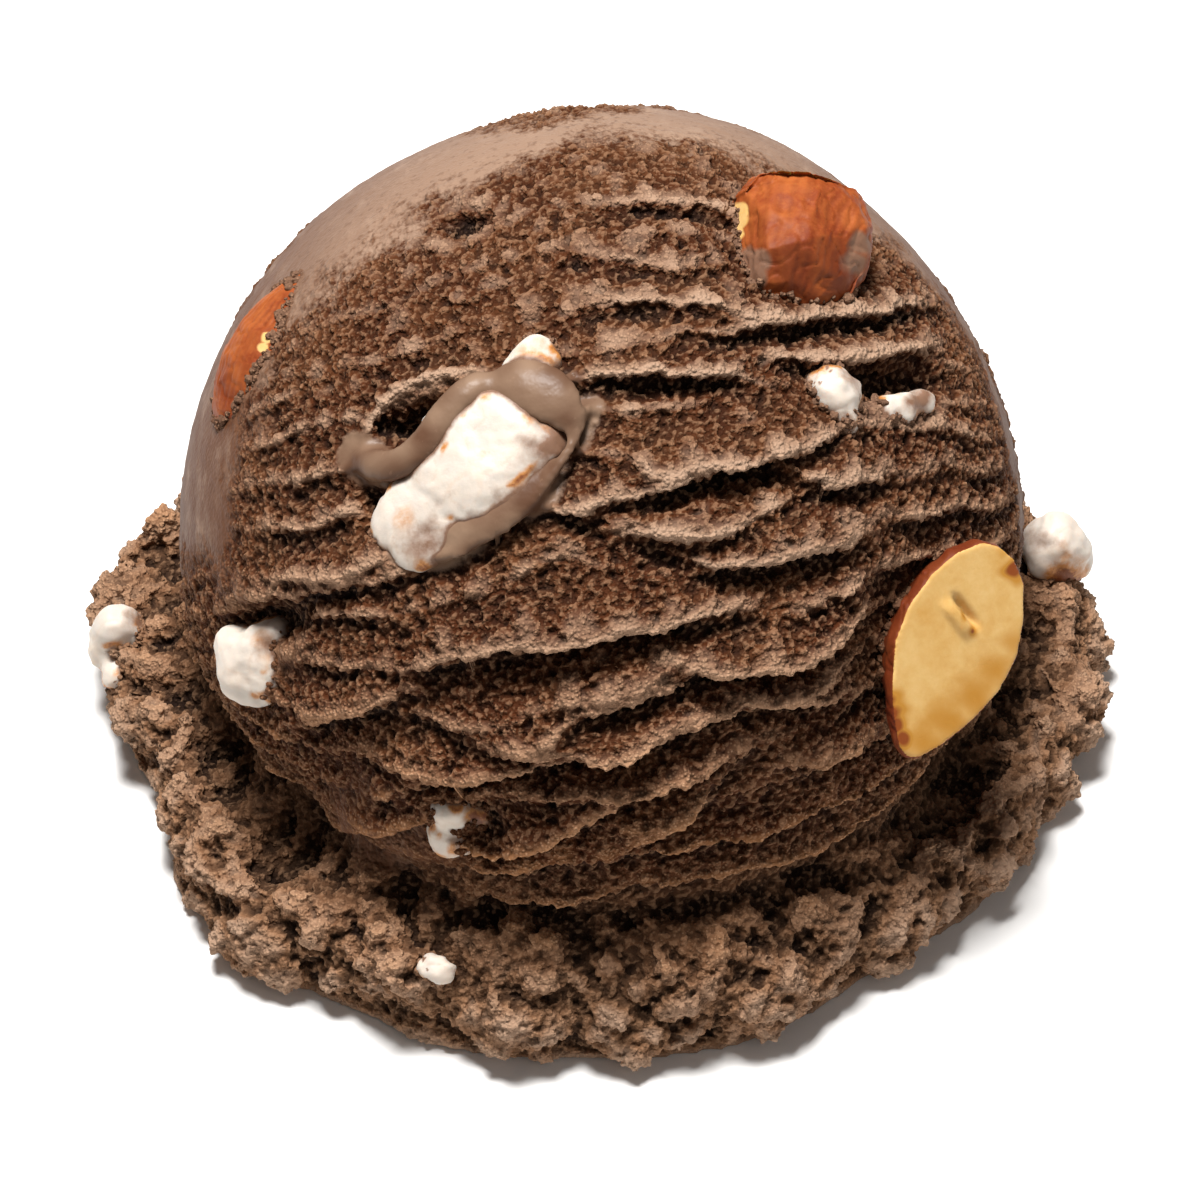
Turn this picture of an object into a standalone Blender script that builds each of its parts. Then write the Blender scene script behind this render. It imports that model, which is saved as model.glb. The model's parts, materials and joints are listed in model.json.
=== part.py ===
"""A scoop of rocky road: chocolate ice cream with almonds and toasted marshmallow set in it.

Metres, +Z up. The origin is the middle of the flat underside, on the surface that the scoop rests on.
The torn face of the ball looks towards -Y and up. Places on it are given in the face's own plane:
how far right (+X) and how far up the slope they lie from the middle of the ball.
"""

import math

import bmesh
import bpy
import numpy as np
from mathutils import Matrix, Vector, noise

MM = 0.001

# Driving dimensions
DOME_RADIUS = 36 * MM
DOME_CENTRE_HEIGHT = 20 * MM
SKIRT_REACH = 43.2 * MM
SKIRT_HEIGHT = 10 * MM
FACE_TILT = math.radians(47)
POCKET_GAP = 0.3 * MM

# Fineness of the ice cream's mesh
VOXEL = 0.7 * MM
SKIN_VOXEL = 0.6 * MM
BODY_TRIANGLES = 6700
SPIN_STEPS = 96

FACE_RIGHT = np.array([1.0, 0.0, 0.0])
FACE_UP = np.array([0.0, math.sin(FACE_TILT), math.cos(FACE_TILT)])
FACE_OUT = np.array([0.0, -math.cos(FACE_TILT), math.sin(FACE_TILT)])
DOME_CENTRE = np.array([0.0, 0.0, DOME_CENTRE_HEIGHT])

# Where the ball's smooth skin is torn, in degrees: azimuth from -Y towards +X, elevation, spread
TORN_PATCHES = (
    (14, 42, 66),
    (168, 26, 17),
    (-128, 14, 13),
    (112, 2, 20),
    (-54, 0, 20),
    (-165, 52, 9),
)
TORN_EDGE = 9

# Crests that the scoop's edge dragged up, on the face in mm: start, middle, end, height
CRESTS = (
    ((6, 15.5), (17, 17.2), (26, 18.5), 1.6),
    ((0, 25.4), (5, 27), (10.5, 25.5), 0.8),
    ((-3, 22), (2, 20.8), (8, 20.7), 0.8),
    ((-1, 17.5), (6, 18.7), (13, 17.4), 1.0),
    ((-1, 11.7), (5, 13.2), (12, 11.9), 1.5),
    ((-2, 1.6), (7, 4.4), (17.5, 7), 1.3),
    ((13.5, 6.3), (17, 2.6), (22, 4.5), 0.9),
    ((0, 0), (5, -1), (11, 0), 0.8),
    ((5, -1.8), (11, -3), (19, -1.4), 1.1),
    ((-13, -10.2), (-1, -7.2), (10, -6.4), 1.5),
    ((7, -10.4), (13.5, -11.4), (20.5, -7), 1.4),
    ((-5, -15.4), (1.5, -13), (8, -11.6), 1.1),
    ((-10, -16.2), (0, -17.2), (10, -15), 1.1),
    ((-16.5, -21), (-8, -18), (3.5, -17.2), 1.1),
    ((-11, -26.2), (-3.6, -23.6), (8, -19), 1.2),
    ((2, -26), (6.4, -23.4), (9.5, -20.4), 0.9),
    ((-30, -5.6), (-21.5, -4.8), (-14, -3.2), 0.9),
    ((-24.5, -16), (-20, -14), (-15.5, -13.2), 0.8),
    ((12.5, 13.8), (19, 13.2), (27, 15), 1.3),
    ((11, -13.4), (16, -14.4), (21, -13), 0.9),
    ((15.5, -19.2), (19, -17.8), (23, -16.8), 0.9),
    ((-22, -25), (-17, -24.2), (-13, -23), 0.8),
)
CREST_SLOPE = 2.6 * MM
CREST_DROP = 0.55 * MM
CREST_LEAN = 0.45
CREST_SAMPLES = 14

# Fainter drag lines between the crests
DRAG_SPACING = 4.1 * MM
DRAG_HEIGHT = 0.75 * MM
DRAG_TILT = math.radians(9)

# Hollows in the ball's face in mm: right, up, half length, half width, turn in degrees, depth
HOLLOWS = (
    (-15.0, 8.4, 3.0, 1.5, 12, 3.0),
    (-18.0, 1.5, 1.5, 0.9, -50, 2.2),
    (24.0, 11.6, 4.6, 1.5, -4, 2.6),
    (-9.9, 4.4, 9.5, 6.6, 38, 1.1),
    (-27.2, -8.2, 3.2, 1.6, 20, 2.2),
    (16.2, 23.4, 6.8, 6.2, 0, 1.2),
    (25.4, -9.4, 5.4, 9.6, -22, 2.2),
    (-11.2, 24.7, 1.9, 1.0, 10, 1.8),
    (-9.2, -23.6, 1.6, 1.0, 0, 1.4),
)

# The skirt's reach round the scoop: azimuth in degrees, how much further out in mm, half width
SKIRT_LOBES = (
    (-96, 2.4, 9),
    (-118, -3.0, 12),
    (-70, -2.0, 7),
    (-55, 1.0, 6),
    (-43, 1.6, 7),
    (-16, 0.6, 8),
    (37, -2.2, 13),
    (60, -1.6, 6),
    (96, 1.0, 8),
    (118, -2.6, 12),
    (150, -0.8, 14),
    (178, 0.6, 12),
    (-145, -0.6, 14),
)

# Clefts between the ball and the skirt, and one place where the two run together:
# azimuth in degrees, half width in degrees, depth in mm
CLEFTS = (
    (6, 24, -1.6),
    (-62, 9, 2.6),
    (-44, 7, 2.8),
    (58, 8, 2.8),
    (78, 10, 2.4),
    (-100, 7, 1.6),
    (160, 12, 1.8),
    (-165, 9, 1.6),
)

# Smooth ribbons of ice cream smeared over the big marshmallow, on the face in mm: right, up, lift
SMEARS = {
    "curl": (1.5, ((-20.0, 5.8, -1.2), (-17.8, 4.5, 0.0), (-15.4, 4.6, 0.6), (-13.4, 6.1, 0.8),
                   (-11.8, 8.3, 0.8), (-9.6, 10.3, 0.6), (-7.0, 11.0, -0.8))),
    "brow": (0.8, ((-19.2, 6.0, -0.8), (-18.0, 8.5, 0.0), (-16.0, 10.6, 0.1), (-13.0, 11.7, 0.1),
                   (-9.0, 12.2, -0.8))),
    "lip": (0.7, ((-0.8, 9.5, -0.8), (-1.7, 7.0, 0.1), (-3.5, 3.8, 0.3), (-5.8, 1.1, 0.3),
                  (-8.8, -1.2, 0.3), (-12.2, -2.7, 0.1), (-15.9, -2.3, -0.7))),
}

COLOURS = {
    "ice_cream": ((0.16, 0.09, 0.055), 0.62),
    "almond_skin": ((0.36, 0.12, 0.045), 0.5),
    "almond_kernel": ((0.76, 0.5, 0.2), 0.42),
    "marshmallow": ((0.87, 0.82, 0.76), 0.7),
}


def clear_scene():
    for obj in list(bpy.data.objects):
        bpy.data.objects.remove(obj)


def material(name):
    colour, roughness = COLOURS[name]
    made = bpy.data.materials.get(name) or bpy.data.materials.new(name)
    made.use_nodes = True
    shader = made.node_tree.nodes["Principled BSDF"]
    shader.inputs["Base Color"].default_value = (*colour, 1)
    shader.inputs["Roughness"].default_value = roughness
    shader.inputs["Metallic"].default_value = 0
    return made


def add_object(name, mesh, material_name):
    obj = bpy.data.objects.new(name, mesh)
    bpy.context.scene.collection.objects.link(obj)
    mesh.materials.clear()
    mesh.materials.append(material(material_name))
    return obj


def mesh_from(bm, name):
    mesh = bpy.data.meshes.new(name)
    bm.to_mesh(mesh)
    bm.free()
    return mesh


def evaluated_copy(obj):
    """The object's mesh with its modifiers applied; the object itself is removed."""
    bpy.context.view_layer.update()
    graph = bpy.context.evaluated_depsgraph_get()
    mesh = bpy.data.meshes.new_from_object(obj.evaluated_get(graph), depsgraph=graph)
    bpy.data.objects.remove(obj)
    return mesh


# Noise and blending


def smooth_step(low, high, value):
    t = np.clip((value - low) / (high - low), 0, 1)
    return t * t * (3 - 2 * t)


def noise_at(points, size, seed):
    """Smooth noise from -1 to 1 whose features are about one size across."""
    shifted = points / size + seed * 7.31
    return np.fromiter((noise.noise(p) for p in shifted.tolist()), float, len(points))


def lumps_at(points, size, seed):
    """Rounded lumps about one size across: 1 on their tops, 0 in the creases between them."""
    shifted = points / size + seed * 3.77
    found = (noise.voronoi(p)[0][:2] for p in shifted.tolist())
    nearest = np.array(list(found))
    return smooth_step(0.0, 0.55, nearest[:, 1] - nearest[:, 0])


def bump(distance):
    return np.exp(-(distance ** 2))


# The ball's face


def face_point(right, up, lift=0.0):
    """The point of the ball at this place on its face, in metres, raised by lift."""
    out = math.sqrt(DOME_RADIUS ** 2 - right ** 2 - up ** 2)
    direction = (FACE_RIGHT * right + FACE_UP * up + FACE_OUT * out) / DOME_RADIUS
    return DOME_CENTRE + direction * (DOME_RADIUS + lift)


def direction_of(azimuth, elevation):
    """The unit direction at this azimuth and elevation, in degrees."""
    turn, rise = math.radians(azimuth), math.radians(elevation)
    return np.array([
        math.sin(turn) * math.cos(rise),
        -math.cos(turn) * math.cos(rise),
        math.sin(rise),
    ])


def torn_amount(directions):
    """1 where the ball's skin was torn by the scoop, 0 where it was pressed smooth."""
    ragged = noise_at(directions, 0.35, 5) * 10
    torn = np.zeros(len(directions))
    for azimuth, elevation, spread in TORN_PATCHES:
        angle = np.degrees(np.arccos(np.clip(directions @ direction_of(azimuth, elevation), -1, 1)))
        patch = 1 - smooth_step(spread - TORN_EDGE, spread + TORN_EDGE, angle + ragged)
        torn = np.maximum(torn, patch)
    return torn


def crest_relief(points):
    """Height and downhill lean of the dragged crests at each point."""
    height = np.zeros(len(points))
    lean = np.zeros(len(points))
    for number, (start, middle, end, tall) in enumerate(CRESTS):
        line = []
        for t in np.linspace(0, 1, CREST_SAMPLES):
            right = (1 - t) ** 2 * start[0] + 2 * t * (1 - t) * middle[0] + t * t * end[0]
            up = (1 - t) ** 2 * start[1] + 2 * t * (1 - t) * middle[1] + t * t * end[1]
            line.append(face_point(right * MM, up * MM))
        line = np.array(line)
        away = points[:, None, :] - line[None, :, :]
        nearest = np.argmin((away ** 2).sum(axis=2), axis=1)
        along = np.gradient(line, axis=0)
        along /= np.linalg.norm(along, axis=1)[:, None]
        outward = (line - DOME_CENTRE) / DOME_RADIUS
        uphill = np.cross(outward, along)
        uphill *= np.sign(uphill @ FACE_UP)[:, None]
        away = away[np.arange(len(points)), nearest]
        wander = 0.5 * MM * noise_at(points, 3.2 * MM, 20 + number)
        across = (away * uphill[nearest]).sum(axis=1) + wander
        past_end = np.abs((away * along[nearest]).sum(axis=1))
        share = nearest / (CREST_SAMPLES - 1)
        strength = np.sin(np.pi * np.clip(0.08 + 0.84 * share, 0, 1)) ** 0.6
        strength = strength * bump(past_end / (2.2 * MM))
        reach = np.where(across > 0, CREST_SLOPE, CREST_DROP)
        ridge = bump(across / reach)
        hollow = 0.45 * bump((across + 1.5 * MM) / (1.1 * MM))
        height += tall * MM * strength * (ridge - hollow)
        lean += tall * MM * strength * ridge * CREST_LEAN
    return height, lean


def drag_relief(points):
    """Shingle-like drag lines: each rises slowly going down the face, then drops."""
    right = (points - DOME_CENTRE) @ FACE_RIGHT
    up = (points - DOME_CENTRE) @ FACE_UP
    out = (points - DOME_CENTRE) @ FACE_OUT
    turned = up * math.cos(DRAG_TILT) - right * math.sin(DRAG_TILT)
    sweep = np.arctan2(turned, out + 0.6 * DOME_RADIUS) * 1.45 * DOME_RADIUS
    wander = 2.4 * MM * noise_at(points, 16 * MM, 2) + 0.9 * MM * noise_at(points, 5 * MM, 3)
    phase = 1 - ((sweep + wander) / DRAG_SPACING) % 1
    shingle = phase ** 1.3 * (1 - smooth_step(0.84, 1.0, phase))
    broken = smooth_step(-0.35, 0.35, noise_at(points, 8 * MM, 4))
    in_front = smooth_step(-0.35 * DOME_RADIUS, -0.1 * DOME_RADIUS, out)
    return in_front * DRAG_HEIGHT * (shingle - 0.3) * (0.3 + 0.7 * broken)


def hollow_relief(points):
    depth = np.zeros(len(points))
    right = (points - DOME_CENTRE) @ FACE_RIGHT
    up = (points - DOME_CENTRE) @ FACE_UP
    front = ((points - DOME_CENTRE) @ FACE_OUT) > 0
    for centre_right, centre_up, half_length, half_width, turn, deep in HOLLOWS:
        cosine, sine = math.cos(math.radians(turn)), math.sin(math.radians(turn))
        x = right - centre_right * MM
        y = up - centre_up * MM
        length_share = (x * cosine + y * sine) / (half_length * MM)
        width_share = (y * cosine - x * sine) / (half_width * MM)
        inside = np.exp(-((length_share ** 2 + width_share ** 2) ** 1.5))
        depth += deep * MM * inside * front
    return depth


# The skirt


def skirt_reach(azimuth):
    """The skirt's distance from the axis at each azimuth, in radians from -Y towards +X."""
    reach = np.full(len(azimuth), SKIRT_REACH)
    for degrees, extra, half_width in SKIRT_LOBES:
        apart = (np.degrees(azimuth) - degrees + 180) % 360 - 180
        reach += extra * MM * bump(apart / half_width)
    return reach


def cleft_depth(azimuth):
    depth = np.zeros(len(azimuth))
    for degrees, half_width, deep in CLEFTS:
        apart = (np.degrees(azimuth) - degrees + 180) % 360 - 180
        depth += deep * MM * bump(apart / half_width)
    return depth


def body_profile():
    """The scoop's outline from the top of the ball down and round to the underside."""
    lowest = math.asin((SKIRT_HEIGHT + 1.5 * MM - DOME_CENTRE_HEIGHT) / DOME_RADIUS)
    outline = []
    for angle in np.linspace(math.pi / 2, lowest, 26):
        outline.append((DOME_RADIUS * math.cos(angle), DOME_CENTRE_HEIGHT + DOME_RADIUS * math.sin(angle)))
    outline.append((SKIRT_REACH - 6.6 * MM, SKIRT_HEIGHT))
    outline.append((SKIRT_REACH - 3.4 * MM, SKIRT_HEIGHT - 0.4 * MM))
    for angle in np.linspace(math.radians(62), math.radians(-35), 5):
        outline.append((
            SKIRT_REACH - 4 * MM + 4 * MM * math.cos(angle),
            4.6 * MM + 4.8 * MM * math.sin(angle),
        ))
    outline.append((SKIRT_REACH - 1.6 * MM, 0.0))
    outline.append((0.0, 0.0))
    return outline


def smooth_body():
    """The plain turned shape, as an even mesh."""
    bm = bmesh.new()
    ring = [bm.verts.new((x, 0, z)) for x, z in body_profile()]
    edges = [bm.edges.new(pair) for pair in zip(ring, ring[1:])]
    bmesh.ops.spin(
        bm, geom=ring + edges, axis=(0, 0, 1), cent=(0, 0, 0),
        angle=math.tau, steps=SPIN_STEPS, use_duplicate=False,
    )
    bmesh.ops.remove_doubles(bm, verts=bm.verts, dist=0.01 * MM)
    bmesh.ops.recalc_face_normals(bm, faces=bm.faces)
    turned = bpy.data.objects.new("turned", mesh_from(bm, "turned"))
    bpy.context.scene.collection.objects.link(turned)
    remesh = turned.modifiers.new("even", "REMESH")
    remesh.mode = "VOXEL"
    remesh.voxel_size = VOXEL
    return evaluated_copy(turned)


def body_relief(points, normals):
    """Where each point of the smooth body goes: drag lines, crests, hollows and torn lumps."""
    from_centre = points - DOME_CENTRE
    directions = from_centre / np.linalg.norm(from_centre, axis=1)[:, None]
    azimuth = np.arctan2(points[:, 0], -points[:, 1])
    radius = np.hypot(points[:, 0], points[:, 1])
    on_dome = smooth_step(SKIRT_HEIGHT - 0.5 * MM, SKIRT_HEIGHT + 4 * MM, points[:, 2])
    on_skirt = 1 - on_dome
    not_under = smooth_step(0, 1.5 * MM, points[:, 2])
    torn = torn_amount(directions) * on_dome

    crests, lean = crest_relief(points)
    height = on_dome * crests
    height += torn * drag_relief(points)
    height += (0.15 + 0.85 * torn) * on_dome * 0.5 * MM * (lumps_at(points, 3.4 * MM, 6) - 0.5)
    height += on_dome * MM * (0.6 * noise_at(points, 20 * MM, 7) - 0.35)
    height -= on_dome * hollow_relief(points)

    coarse = lumps_at(points * [1, 1, 0.8], 9 * MM, 8)
    fine = lumps_at(points, 4 * MM, 9)
    height += on_skirt * not_under * MM * (1.9 * (coarse - 0.6) + 1.2 * (fine - 0.5))

    junction = bump((radius - SKIRT_REACH + 6.5 * MM) / (2.4 * MM)) * bump((points[:, 2] - SKIRT_HEIGHT) / (5 * MM))
    height -= junction * cleft_depth(azimuth)

    moved = points + normals * height[:, None]
    moved -= FACE_UP * (on_dome * lean)[:, None]
    outward = smooth_step(DOME_RADIUS - 2 * MM, SKIRT_REACH - 2 * MM, radius) * on_skirt
    stretch = 1 + outward * (skirt_reach(azimuth) / SKIRT_REACH - 1)
    moved[:, 0] *= stretch
    moved[:, 1] *= stretch
    moved[:, 2] = np.where(points[:, 2] < 0.4 * MM, 0.0, np.maximum(moved[:, 2], 0.0))
    return moved


def ribbon_meshes():
    """The smooth ribbons as closed tubes."""
    meshes = []
    for name, (half_width, route) in SMEARS.items():
        curve = bpy.data.curves.new(name, "CURVE")
        curve.dimensions = "3D"
        curve.bevel_depth = half_width * MM
        curve.bevel_resolution = 3
        curve.resolution_u = 8
        curve.use_fill_caps = True
        spline = curve.splines.new("BEZIER")
        spline.bezier_points.add(len(route) - 1)
        for point, (right, up, lift) in zip(spline.bezier_points, route):
            point.co = face_point(right * MM, up * MM, lift * MM)
            point.handle_left_type = point.handle_right_type = "AUTO"
            point.radius = 0.55 if (right, up, lift) in (route[0], route[-1]) else 1.0
        guide = bpy.data.objects.new(name, curve)
        bpy.context.scene.collection.objects.link(guide)
        meshes.append(evaluated_copy(guide))
    return meshes


def ice_cream():
    mesh = smooth_body()
    count = len(mesh.vertices)
    points = np.empty(count * 3)
    mesh.vertices.foreach_get("co", points)
    normals = np.empty(count * 3)
    mesh.vertex_normals.foreach_get("vector", normals)
    moved = body_relief(points.reshape(-1, 3), normals.reshape(-1, 3))
    mesh.vertices.foreach_set("co", moved.ravel())
    bm = bmesh.new()
    bm.from_mesh(mesh)
    for ribbon in ribbon_meshes():
        bm.from_mesh(ribbon)
    bmesh.ops.remove_doubles(bm, verts=bm.verts, dist=0.001 * MM)
    body = add_object("sculpted", mesh_from(bm, "sculpted"), "ice_cream")
    remesh = body.modifiers.new("one_skin", "REMESH")
    remesh.mode = "VOXEL"
    remesh.voxel_size = SKIN_VOXEL
    mesh = evaluated_copy(body)
    body = add_object("evened", mesh, "ice_cream")
    decimate = body.modifiers.new("fewer", "DECIMATE")
    decimate.ratio = BODY_TRIANGLES / (2 * len(mesh.polygons))
    decimate.use_collapse_triangulate = True
    return add_object("ice_cream", evaluated_copy(body), "ice_cream")


# Where a piece is set


def facing(place, facing_out, along):
    """A matrix at place whose Z axis is facing_out and whose X axis runs as near to along as it can."""
    z_axis = Vector(facing_out).normalized()
    x_axis = Vector(along)
    x_axis = (x_axis - z_axis * x_axis.dot(z_axis)).normalized()
    y_axis = z_axis.cross(x_axis)
    turned = Matrix((x_axis, y_axis, z_axis)).transposed().to_4x4()
    turned.translation = Vector(place)
    return turned


def on_face(right, up, lift, spin, towards_face=0.0):
    """A seat on the ball: X turned by spin degrees from the face's right, Z out of the ball.

    towards_face, from 0 to 1, tilts Z from the ball's own normal to the face's.
    """
    place = face_point(right * MM, up * MM, lift * MM)
    normal = (face_point(right * MM, up * MM) - DOME_CENTRE) / DOME_RADIUS
    outward = normal * (1 - towards_face) + FACE_OUT * towards_face
    turn = math.radians(spin)
    return facing(place, outward, FACE_RIGHT * math.cos(turn) + FACE_UP * math.sin(turn))


def on_skirt(azimuth, reach, height, spin=0.0, tilt=0.0):
    """A seat on the skirt: Z points outwards, tilted up by tilt degrees, and X runs round it."""
    rise, turn = math.radians(tilt), math.radians(spin)
    outward = direction_of(azimuth, 0)
    around = direction_of(azimuth + 90, 0)
    place = outward * reach * MM + np.array([0, 0, height * MM])
    z_axis = outward * math.cos(rise) + np.array([0, 0, math.sin(rise)])
    up = np.array([0, 0, math.cos(rise)]) - outward * math.sin(rise)
    return facing(place, z_axis, around * math.cos(turn) + up * math.sin(turn))


# Almonds

ALMOND_SEGMENTS = 14
ALMOND_RINGS = 9


def almond(length, width, thickness, cuts=(), wrinkle=0.02):
    """An almond along X, pointed at +X, in mm. Each cut is a plane: a point in mm and a normal."""
    bm = bmesh.new()
    bmesh.ops.create_uvsphere(
        bm, u_segments=ALMOND_SEGMENTS, v_segments=ALMOND_RINGS, radius=1,
        matrix=Matrix.Rotation(math.pi / 2, 4, "Y"),
    )
    for vert in bm.verts:
        x, y, z = vert.co
        taper = 1 - 0.42 * max(x, 0) ** 1.4 + 0.04 * min(x, 0)
        rough = 1 + wrinkle * noise.noise(Vector((x * 1.4 + length, y * 2.6, z * 2.6 + width)))
        vert.co = Vector((
            x * length / 2 * (1.0 + 0.06 * max(x, 0)),
            y * width / 2 * taper * rough,
            z * thickness / 2 * taper * rough,
        )) * MM
    for point, normal in cuts:
        cut_flat(bm, Vector(point) * MM, Vector(normal))
    return mesh_from(bm, "almond")


def cut_flat(bm, point, normal):
    """Cuts away what lies on the normal's side of the plane and closes the hole."""
    geometry = bm.verts[:] + bm.edges[:] + bm.faces[:]
    found = bmesh.ops.bisect_plane(
        bm, geom=geometry, dist=0.01 * MM, plane_co=point, plane_no=normal, clear_outer=True
    )
    rim = [part for part in found["geom_cut"] if isinstance(part, bmesh.types.BMEdge)]
    bmesh.ops.contextual_create(bm, geom=rim)


# Marshmallow

MARSHMALLOW_VOXEL = 0.4 * MM
MARSHMALLOW_SMOOTHING = 6


def marshmallow(lobes, triangles, seed):
    """A torn piece of marshmallow: rounded lobes run into one another, with dents.

    Each lobe is its centre and its half sizes, in mm.
    """
    bm = bmesh.new()
    for number, (centre, half_sizes) in enumerate(lobes):
        made = bmesh.ops.create_icosphere(bm, subdivisions=4, radius=1)
        for vert in made["verts"]:
            direction = vert.co.normalized()
            dent = 1 + 0.13 * noise.noise(direction * 1.5 + Vector((seed, number, 4)))
            blocky = sum(abs(c) ** 2.8 for c in direction) ** (-1 / 2.8)
            vert.co = Vector(
                (middle + half * part * dent * blocky) * MM
                for middle, half, part in zip(centre, half_sizes, direction)
            )
    lump = add_object("lump", mesh_from(bm, "lump"), "marshmallow")
    remesh = lump.modifiers.new("one_skin", "REMESH")
    remesh.mode = "VOXEL"
    remesh.voxel_size = MARSHMALLOW_VOXEL
    soften = lump.modifiers.new("soften", "SMOOTH")
    soften.iterations = MARSHMALLOW_SMOOTHING
    mesh = evaluated_copy(lump)
    lump = add_object("fine_lump", mesh, "marshmallow")
    decimate = lump.modifiers.new("fewer", "DECIMATE")
    decimate.ratio = triangles / (2 * len(mesh.polygons))
    decimate.use_collapse_triangulate = True
    return evaluated_copy(lump)


PIECES = {}


def inflate(mesh, gap):
    """Moves the surface outwards by gap, for the pocket that holds the piece."""
    bm = bmesh.new()
    bm.from_mesh(mesh)
    bm.normal_update()
    moves = [(vert, vert.normal * vert.calc_shell_factor() * gap) for vert in bm.verts]
    for vert, move in moves:
        vert.co += move
    bm.to_mesh(mesh)
    bm.free()


def set_piece(name, mesh, place, material_name):
    mesh.name = name
    obj = add_object(name, mesh, material_name)
    obj.matrix_world = place
    PIECES[name] = obj


def back_seat(azimuth, elevation, lift, spin):
    """A seat on the ball by azimuth and elevation, for what the face doesn't hold."""
    turn = math.radians(spin)
    normal = direction_of(azimuth, elevation)
    around = direction_of(azimuth + 90, 0)
    upward = np.cross(normal, around)
    place = DOME_CENTRE + normal * (DOME_RADIUS + lift * MM)
    return facing(place, normal, around * math.cos(turn) + upward * math.sin(turn))


def almonds():
    chipped = almond(17.5, 12.6, 10.4, cuts=(
        ((4.6, 0, 0), (1, 0.15, 0.25)),
        ((0, -1.4, 4.2), (-0.05, -0.36, 1)),
        ((-1, 5.0, 1.2), (-0.3, 1, 0.25)),
    ), wrinkle=0.05)
    set_piece("almond_top_right", chipped, on_face(16.2, 23.4, -0.4, 72, 0.4), "almond_skin")
    halved = almond(18.4, 11.9, 9.4, cuts=(((0, 0, 0.7), (0.02, 0.02, 1)),))
    set_piece("almond_half", halved, on_face(27.4, -9.6, 1.2, 246, 0.5), "almond_kernel")
    whole = almond(15.4, 10.4, 7.2)
    set_piece("almond_left", whole, on_face(-28.9, 14.8, -2.4, 62), "almond_skin")
    whole = almond(18.5, 11.2, 7.6)
    set_piece("almond_back", whole, back_seat(166, -1, -2.2, 12), "almond_skin")


def marshmallows():
    centre = marshmallow((
        ((1.2, -0.2, 0), (6.0, 4.9, 4.3)),
        ((-6.0, -0.8, -0.6), (3.8, 3.4, 3.3)),
    ), 600, 1)
    set_piece("marshmallow_centre", centre, on_face(-10.3, 4.9, -2.1, 38), "marshmallow")

    upper = marshmallow((((0, 0, 0), (2.5, 2.1, 2.6)),), 200, 2)
    set_piece("marshmallow_upper", upper, on_face(-4.4, 13.7, -1.3, 40), "marshmallow")

    right_a = marshmallow((
        ((0, 0, 0), (2.5, 2.1, 2.2)),
        ((1.6, -1.8, -0.1), (1.6, 1.2, 1.6)),
    ), 180, 3)
    set_piece("marshmallow_right_a", right_a, on_face(19.0, 10.8, -0.5, -25, 0.3), "marshmallow")

    right_b = marshmallow((
        ((0, 0, 0), (2.1, 1.5, 1.9)),
        ((2.4, 0.6, -0.3), (1.6, 1.0, 1.4)),
    ), 160, 4)
    set_piece("marshmallow_right_b", right_b, on_face(24.2, 9.2, -0.6, 8, 0.3), "marshmallow")

    lower_left = marshmallow((
        ((0, 0, 0), (3.6, 3.0, 2.8)),
        ((1.8, 2.0, -0.2), (2.3, 2.0, 2.2)),
        ((-2.0, 1.8, -0.3), (2.2, 1.5, 1.8)),
    ), 260, 5)
    set_piece("marshmallow_lower_left", lower_left, on_face(-28.6, -11.8, -0.2, 8, 0.4), "marshmallow")

    low = marshmallow((
        ((0, -1.2, 0), (2.1, 1.7, 2.0)),
        ((0.7, 1.7, 0), (1.8, 1.7, 1.9)),
        ((2.6, 1.0, -0.4), (1.5, 1.2, 1.4)),
    ), 240, 6)
    set_piece("marshmallow_low", low, on_face(-12.2, -24.6, -0.7, 12, 0.2), "marshmallow")

    left_edge = marshmallow((
        ((0, 0, 0), (1.9, 3.2, 2.4)),
        ((2.8, -1.4, -0.5), (1.3, 1.2, 1.2)),
    ), 180, 7)
    set_piece("marshmallow_left_edge", left_edge, on_skirt(-88, 42.0, 7.6, 0, 25), "marshmallow")

    right_edge = marshmallow((((0, 0, 0), (2.6, 3.7, 2.7)),), 220, 8)
    set_piece("marshmallow_right_edge", right_edge, on_skirt(99, 40.4, 10.6, 14, 25), "marshmallow")

    bottom = marshmallow((((0, 0, 0), (1.7, 1.3, 1.4)),), 100, 9)
    set_piece("marshmallow_bottom", bottom, on_skirt(-19, 41.0, 8.4, 0, 55), "marshmallow")

    back_a = marshmallow((
        ((0, 0, 0), (4.6, 3.8, 3.6)),
        ((3.2, 1.2, -0.4), (2.8, 2.5, 2.8)),
    ), 220, 10)
    set_piece("marshmallow_back_a", back_a, back_seat(-160, 5, -2.0, 15), "marshmallow")

    back_b = marshmallow((((0, 0, 0), (3.2, 2.6, 2.8)),), 140, 11)
    set_piece("marshmallow_back_b", back_b, back_seat(138, 2, -1.2, -30), "marshmallow")


def pocket_cutters():
    cutters = bpy.data.collections.new("pockets")
    bpy.context.scene.collection.children.link(cutters)
    for name, piece in PIECES.items():
        mesh = piece.data.copy()
        inflate(mesh, POCKET_GAP)
        cutter = bpy.data.objects.new(name + "_pocket", mesh)
        cutter.matrix_world = piece.matrix_world
        cutters.objects.link(cutter)
    return cutters


def cut_pockets(body, cutters):
    """The body with a pocket for each piece."""
    modifier = body.modifiers.new("pockets", "BOOLEAN")
    modifier.operation = "DIFFERENCE"
    modifier.operand_type = "COLLECTION"
    modifier.collection = cutters
    modifier.solver = "EXACT"
    body.name = "uncut"
    bm = bmesh.new()
    bm.from_mesh(evaluated_copy(body))
    drop_crumbs(bm)
    for cutter in list(cutters.objects):
        bpy.data.objects.remove(cutter)
    bpy.data.collections.remove(cutters)
    return add_object("ice_cream", mesh_from(bm, "ice_cream"), "ice_cream")


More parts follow.
